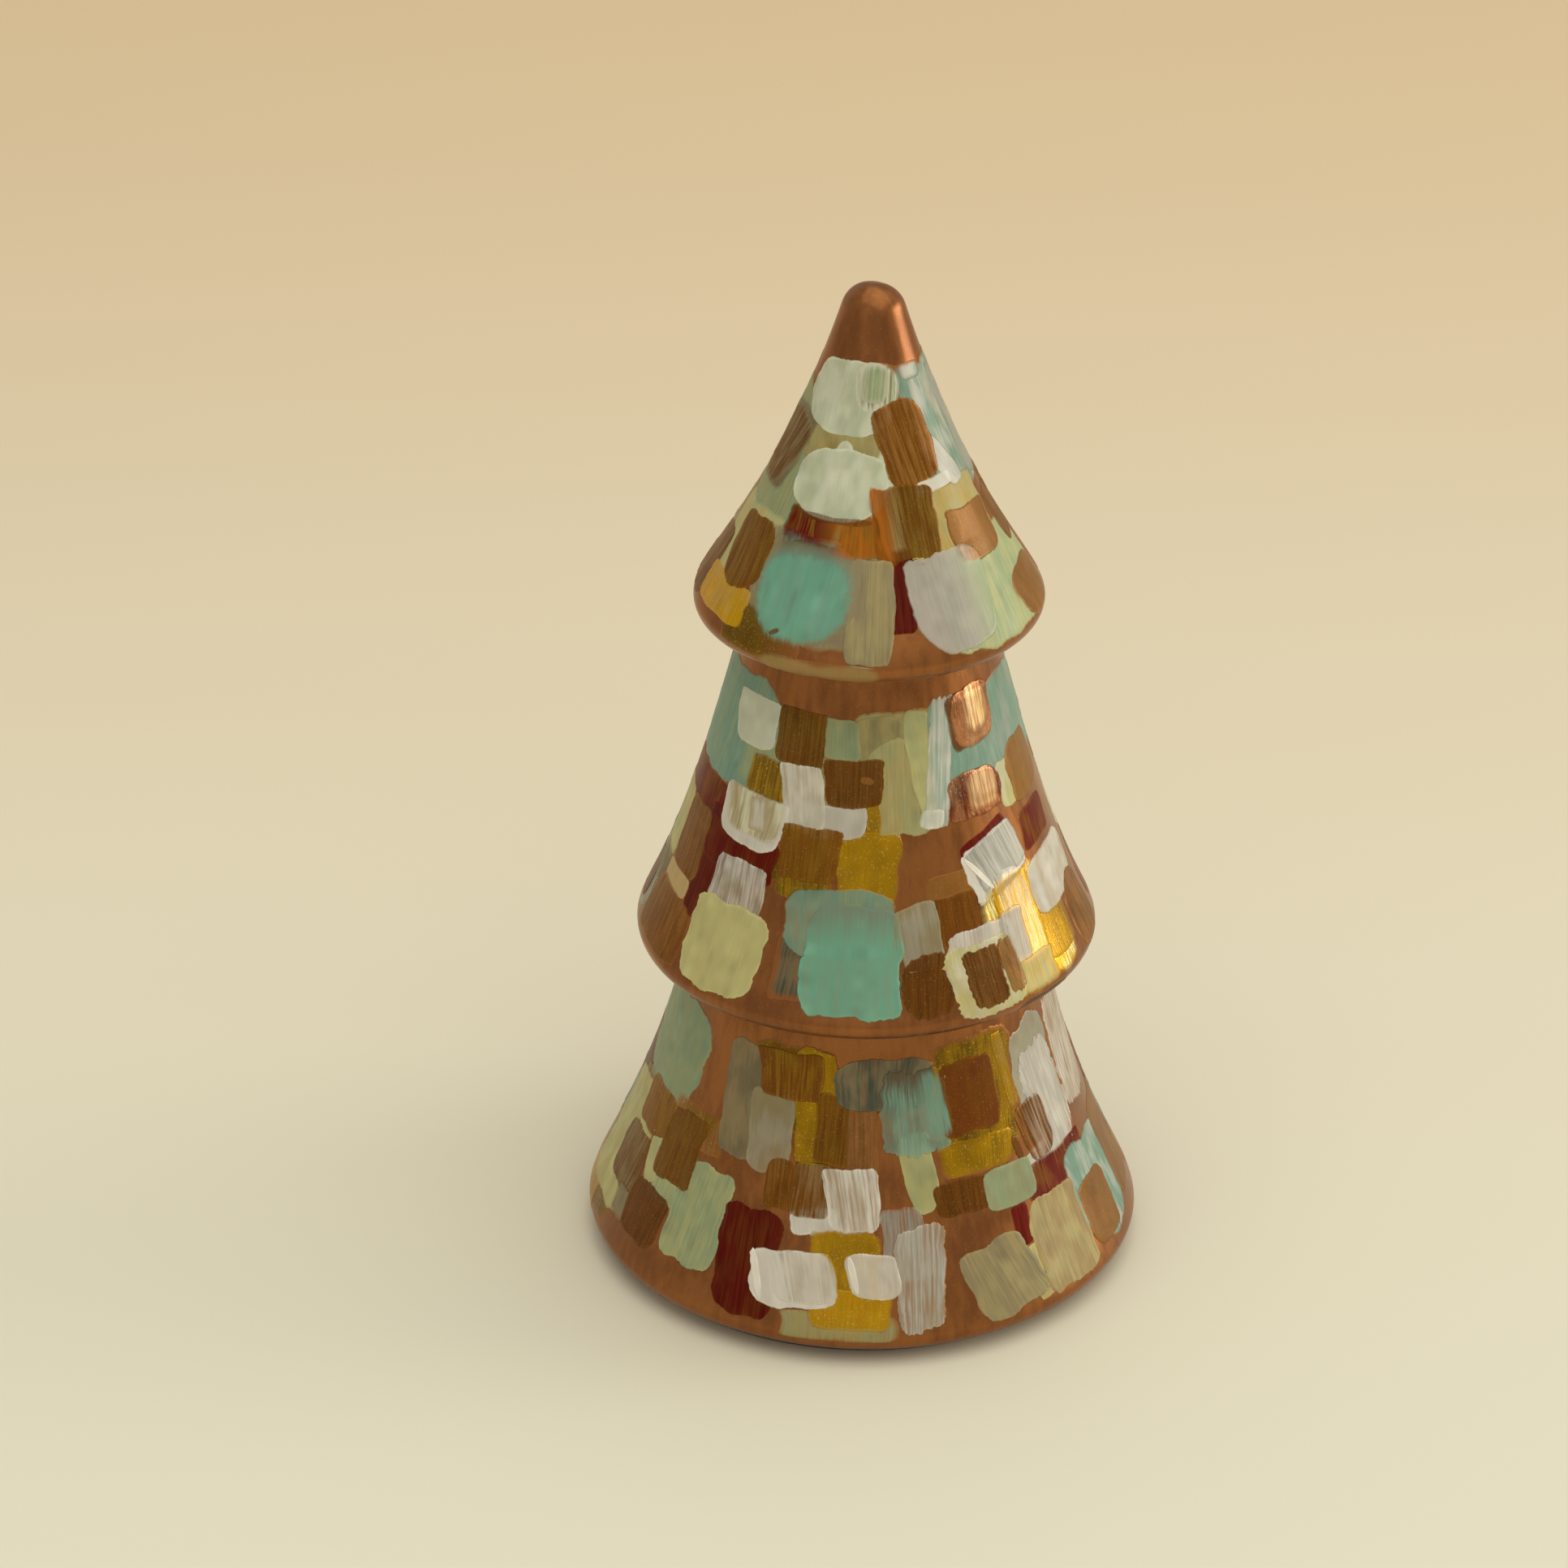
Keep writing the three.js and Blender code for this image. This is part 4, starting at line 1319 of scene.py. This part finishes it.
@dataclass
class PaintedTier:
    """All the strokes on one tier, laid in order, each draped over the ones before it."""

    name: str
    outline: Outline
    seed: int
    seed_step: int = 17
    anchor: float = -0.9
    dry_gaps: float = 0.4
    sheet_share: float = 0.94
    strokes: list[Stroke] = field(default_factory=list)
    meshes: dict[Paint, list[StrokeMesh]] = field(default_factory=dict)

    def lay(self, dab: Dab) -> None:
        """Paints one stroke over what is already there.

        The stroke's points stand above the surface by the thickness of all the earlier strokes at that place
        plus its own, and its edge dips just below them, so that it closes on what it lies on.

        Args:
            dab: the stroke to paint.
        """
        stroke = Stroke(dab, self.outline, self.seed + self.seed_step * len(self.strokes))
        across, along, wide, long = stroke.grid()
        angle, down = stroke.spread(wide, long)
        base = np.zeros_like(angle)
        beneath = np.empty(angle.shape + (4,))
        beneath[...] = (*BASE_COAT, BASE_COAT_METAL)
        for earlier in self.strokes:
            there_wide, there_long = earlier.locate(angle, down)
            inside = earlier.reach(there_wide, there_long)[0] < 1
            if not inside.any():
                continue
            base += np.where(inside, earlier.own_lift(there_wide, there_long), 0.0)
            hidden = earlier.cover(there_wide, there_long) * (1 - self.dry_gaps * earlier.dab.dry)
            share = np.where(inside, hidden, 0.0)
            beneath += share[..., None] * (earlier_paint(earlier.dab) - beneath)
        on_edge = (np.abs(across) > 0.9999) | (np.abs(along) > 0.9999)
        lift = base + np.where(on_edge, -stroke.sink, stroke.own_lift(wide, long))
        self.strokes.append(stroke)
        sheet = np.stack([across, along], axis=-1).reshape(-1, 2) * (self.sheet_share / 2) + 0.5
        mesh = self.closed(stroke, wide, long, self.outline.place(angle, down, lift), sheet, beneath)
        self.meshes.setdefault(dab.paint, []).append(mesh)

    def closed(self, stroke: Stroke, wide: np.ndarray, long: np.ndarray, top: np.ndarray, sheet: np.ndarray,
               beneath: np.ndarray) -> StrokeMesh:
        """Closes a stroke with a fan of triangles underneath, hidden in the clay.

        Args:
            stroke: the stroke.
            wide, long: its grid in mm from its middle.
            top: the grid's points in place.
            sheet: each point's place on the stroke's own sheet, from 0 to 1.
            beneath: the colour and metal under each point.

        Returns:
            The closed mesh.
        """
        dab = stroke.dab
        rows, columns = wide.shape
        count = rows * columns
        middle = np.array([[math.radians(dab.angle)], [dab.down], [self.anchor]])
        centre = self.outline.place(*middle)
        numbers = np.arange(count).reshape(rows, columns)
        rim = np.concatenate([numbers[0, :-1], numbers[:-1, -1], numbers[-1, :0:-1], numbers[:0:-1, 0]])
        fans = np.stack([np.roll(rim, -1), rim, np.full(len(rim), count)], axis=-1)
        colour = earlier_paint(dab)[:3]
        cover = stroke.cover(wide, long).reshape(-1, 1)
        second = dab.tone * np.array((dab.load or dab.paint).colour)
        # Random blotches, and the painted highlight along crisp edges.
        shade = stroke.shade(wide, long).reshape(-1, 1)
        amount = np.full((count, 1), dab.amount)
        own_bristles = np.array([40.0 * (stroke.seed % 97), 31.0 * (stroke.seed % 89)])
        return StrokeMesh(
            points=np.concatenate([top.reshape(-1, 3), centre]),
            quads=grid_faces(rows, columns)[:, ::-1],
            fans=fans[:, ::-1],
            stroke_uv=with_last(np.stack([wide, long], axis=-1).reshape(-1, 2) + own_bristles),
            sheet_uv=with_last(sheet),
            pigment=with_last(np.concatenate([colour * shade, cover], axis=1)),
            brush_load=with_last(np.concatenate([second * shade, amount], axis=1)),
            beneath=with_last(beneath.reshape(-1, 4)),
            dryness=np.full(count + 1, dab.dry),
        )

    def dry(self, materials: dict[Family, bpy.types.Material]) -> None:
        """Joins the strokes of each paint into one piece and dresses it."""
        for paint, meshes in self.meshes.items():
            self.join(f"{self.name}_{paint.name.lower()}_dabs", meshes, materials[paint.family])

    def join(self, name: str, meshes: list[StrokeMesh], material: bpy.types.Material) -> None:
        """Makes one piece from the strokes of one paint.

        Args:
            name: the piece's name.
            meshes: its strokes.
            material: its paint.
        """
        starts = np.concatenate([[0], np.cumsum([len(m.points) for m in meshes])[:-1]])
        points = np.concatenate([m.points for m in meshes])
        quads = np.concatenate([m.quads + start for m, start in zip(meshes, starts)])
        fans = np.concatenate([m.fans + start for m, start in zip(meshes, starts)])
        piece = make_piece(name, points * MM, [quads, fans], [material])
        mesh = piece.data
        corner = vertex_numbers(mesh)
        side = math.ceil(math.sqrt(len(meshes)))
        cells = [(m.sheet_uv + (index % side, index // side)) / side for index, m in enumerate(meshes)]
        set_uv(mesh, "OFBake", np.concatenate(cells)[corner])
        set_uv(mesh, "stroke", np.concatenate([m.stroke_uv for m in meshes])[corner])
        for layer in ("pigment", "brush_load", "beneath"):
            set_colour(mesh, layer, np.concatenate([getattr(m, layer) for m in meshes]))
        set_value(mesh, "dryness", np.concatenate([m.dryness for m in meshes]))


def earlier_paint(dab: Dab) -> np.ndarray:
    """A dab's own colour in its tone, with how metallic it is."""
    return np.array([*(dab.tone * np.array(dab.paint.colour)), FINISHES[dab.paint.family].metal])


def with_last(rows: np.ndarray) -> np.ndarray:
    """Adds one more row, a copy of the first, for the vertex under a stroke."""
    return np.concatenate([rows, rows[:1]])


# ---- Sub-assemblies ----

@dataclass
class PaintBox:
    """Every finish, built once."""

    copper: bpy.types.Material = field(init=False)
    clay: bpy.types.Material = field(init=False)
    felt: bpy.types.Material = field(init=False)
    dabs: dict[Family, bpy.types.Material] = field(init=False)

    def __post_init__(self) -> None:
        """Mixes the finishes."""
        self.copper = CopperCoat().build()
        self.clay = BareClay().build()
        self.felt = PressedFelt().build()
        self.dabs = {family: DabPaint(family).build() for family in Family}


@dataclass
class Conifer:
    """The three clay tiers, the slip that joins them, and the paint on them."""

    paint_box: PaintBox
    top: TopTier = field(default_factory=TopTier)
    middle: MiddleTier = field(default_factory=MiddleTier)
    bottom: BottomTier = field(default_factory=BottomTier)
    bead: float = 1.6
    bead_touch: float = 0.45

    def build(self) -> None:
        """Makes the shells, the crease beads and the dabs."""
        layers = (
            (self.top, TOP_DABS, ((15, 9), (23, 8), (31, 8), (39, 9)), 101),
            (self.middle, MIDDLE_DABS, ((9, 8), (17, 8), (26, 9), (35, 10)), 202),
            (self.bottom, BOTTOM_DABS, ((9, 9), (17, 8), (25, 9), (32, 10)), 303),
        )
        for tier, dabs, back, seed in layers:
            rows = tuple(BackRow(*row) for row in back)
            profile, painted, outline = tier.shape()
            shell = [self.paint_box.copper, self.paint_box.clay]
            turned_piece(tier.node, profile, shell, painted)
            coat = PaintedTier(tier.node, outline, seed)
            for dab in (*back_dabs(rows, seed), *dabs):
                coat.lay(dab)
            coat.dry(self.paint_box.dabs)
        self.crease_bead("upper_luting_ring", self.middle)
        self.crease_bead("lower_luting_ring", self.bottom)

    def crease_bead(self, node: str, below: NeckedTier) -> None:
        """The slip in a crease: a ring with two legs in the clay and a hollow face between their ends.

        Args:
            node: the ring's CAD node.
            below: the tier whose neck the crease runs round.
        """
        top = node_sizes(below.node)[2]
        lean = math.tan(math.radians(below.neck_angle))
        sunk = self.bead_touch
        corner = (below.neck_radius - sunk, top + sunk)
        upright = (below.neck_radius + self.bead * lean - 0.05, top - self.bead)
        flat = (below.neck_radius + self.bead + CLAY.gap, top + CLAY.gap + 0.1)
        pull = (below.neck_radius + 0.45, top - 0.1)
        face = bezier([upright, pull, pull, flat], 14)
        ring = joined(corner, (upright[0] - sunk, upright[1]), face, (flat[0], corner[1]))
        turned_piece(node, ring, [self.paint_box.copper])


@dataclass
class Foot:
    """What closes the tree below: the clay disc with its vent, the slip round it and the felt ring."""

    paint_box: PaintBox
    vent_radius: float = 6.0
    soft_edge: float = 0.5
    felt_hole: float = 9.0
    felt_edge: float = 0.4

    def build(self) -> None:
        """Makes the disc, the bead and the felt."""
        self.disc()
        self.bead()
        self.felt()

    def rounded_ring(self, inner: float, outer: float, low: float, high: float, edge: float) -> np.ndarray:
        """A ring's section: a rectangle with its four corners rounded."""
        corners = ((inner + edge, low + edge, 180), (outer - edge, low + edge, -90),
                   (outer - edge, high - edge, 0), (inner + edge, high - edge, 90))
        return joined(*(arc((across, up), edge, start, start + 90, 6) for across, up, start in corners))

    def disc(self) -> None:
        """The base disc, cut from rolled clay, with softened edges."""
        radius, low, high = node_sizes("base_disc")
        ring = self.rounded_ring(self.vent_radius, radius, low, high, self.soft_edge)
        turned_piece("base_disc", ring, [self.paint_box.clay], wobble=False)

    def bead(self) -> None:
        """The slip between disc and wall: two legs, and a hollow face between their ends."""
        radius, low, high = node_sizes("base_luting_ring")
        size = high - low
        pull = (radius - 0.3 * size, low + 0.3 * size)
        face = bezier([(radius, high), pull, pull, (radius - size, low)], 12)
        turned_piece("base_luting_ring", joined((radius, low), face), [self.paint_box.clay],
                     wobble=False)

    def felt(self) -> None:
        """The felt ring, cut with slightly crushed edges."""
        radius, low, high = node_sizes("felt_pad")
        ring = self.rounded_ring(self.felt_hole, radius, low, high, self.felt_edge)
        turned_piece("felt_pad", ring, [self.paint_box.felt], wobble=False)


# ---- The studio ----

@dataclass(frozen=True)
class Lamp:
    """A soft panel of light that faces the tree: where it hangs, its size, its power and its warmth."""

    name: str
    azimuth: float
    elevation: float
    distance: float
    wide: float
    high: float
    power: float
    colour: Colour

    def hang(self, target: Vector) -> None:
        """Hangs the panel at its azimuth, counted from the front to the viewer's right.

        Args:
            target: the place that it faces.
        """
        light = bpy.data.lights.new(self.name, "AREA")
        light.shape = "RECTANGLE"
        light.size = self.wide
        light.size_y = self.high
        light.energy = self.power
        light.color = self.colour
        lamp = bpy.data.objects.new(self.name, light)
        lamp.visible_camera = False
        turn, rise = math.radians(self.azimuth), math.radians(self.elevation)
        away = Vector((math.sin(turn) * math.cos(rise), -math.cos(turn) * math.cos(rise), math.sin(rise)))
        lamp.location = target + away * self.distance
        lamp.rotation_euler = (-away).to_track_quat("-Z", "Y").to_euler()
        bpy.context.scene.collection.objects.link(lamp)


@dataclass
class Studio:
    """A plain pale floor, soft light from the right and above, and the camera."""

    elevation: float = 28.9
    distance: float = 0.7207
    lens: float = 140.0
    aside: float = 0.00984
    above: float = 0.00198
    roll: float = 0.29
    floor_size: float = 6.0
    near_colour: Colour = linear(236, 231, 205)
    far_colour: Colour = linear(229, 203, 160)
    air_colour: Colour = linear(250, 246, 238)
    air_strength: float = 0.52

    def build(self) -> None:
        """Lays the floor and sets the light and the camera."""
        centre = (cad_low + cad_high) / 2
        self.floor()
        self.air()
        for lamp in (
            Lamp("window_right", 96, 8, 1.8, 0.9, 0.56, 10.5, (1.0, 0.97, 0.92)),
            Lamp("sky_above", 60, 76, 1.1, 1.6, 1.6, 8.0, (1.0, 0.99, 0.96)),
            Lamp("fill_front", -10, 30, 1.2, 1.2, 0.9, 0.7, (1.0, 0.98, 0.94)),
        ):
            lamp.hang(centre)
        self.camera(centre)
        bpy.context.scene.view_settings.view_transform = "Standard"

    def floor(self) -> None:
        """A flat sheet of pale paper, darker and warmer towards the back: painted shade where the light falls
        off.
        """
        half = self.floor_size / 2
        mesh = bpy.data.meshes.new("floor")
        corners = [(-half, -half, 0), (half, -half, 0), (half, half, 0), (-half, half, 0)]
        mesh.from_pydata(corners, [], [(0, 1, 2, 3)])
        graph = Graph("pale_paper")
        depth = graph.add("SeparateXYZ", {"Vector": graph.place_on_piece()}).outputs["Y"]
        graph.put(graph.shader, {
            # The ramp from near to far colour is painted shade, darker towards the back.
            "Base Color": graph.mix(graph.ramp(depth, -0.10, 0.45), self.near_colour, self.far_colour),
            "Roughness": 0.85,
        })
        mesh.materials.append(graph.material)
        floor = bpy.data.objects.new("floor", mesh)
        bpy.context.scene.collection.objects.link(floor)

    def air(self) -> None:
        """Pale light from all round."""
        world = bpy.data.worlds.new("air")
        world.use_nodes = True
        background = world.node_tree.nodes["Background"]
        background.inputs["Color"].default_value = (*self.air_colour, 1.0)
        background.inputs["Strength"].default_value = self.air_strength
        bpy.context.scene.world = world

    def camera(self, centre: Vector) -> None:
        """A long lens that looks down on the tree, which stands a little right of the middle.

        Args:
            centre: the middle of the tree.
        """
        tilt = math.radians(self.elevation)
        forward = Vector((0, math.cos(tilt), -math.sin(tilt)))
        right = Vector((1, 0, 0))
        up = right.cross(forward)
        turn = Matrix.Rotation(math.radians(self.roll), 3, -forward)
        right, up = turn @ right, turn @ up
        data = bpy.data.cameras.new("camera")
        data.lens = self.lens
        camera = bpy.data.objects.new("camera", data)
        pose = Matrix((right, up, -forward)).transposed().to_4x4()
        pose.translation = centre - forward * self.distance - right * self.aside - up * self.above
        camera.matrix_world = pose
        bpy.context.scene.collection.objects.link(camera)
        bpy.context.scene.camera = camera


def main() -> None:
    """Builds the tree and the studio."""
    logging.basicConfig(level=logging.INFO, format="%(message)s")
    paint_box = PaintBox()
    Conifer(paint_box).build()
    Foot(paint_box).build()
    Studio().build()


if __name__ == "__main__":
    main()
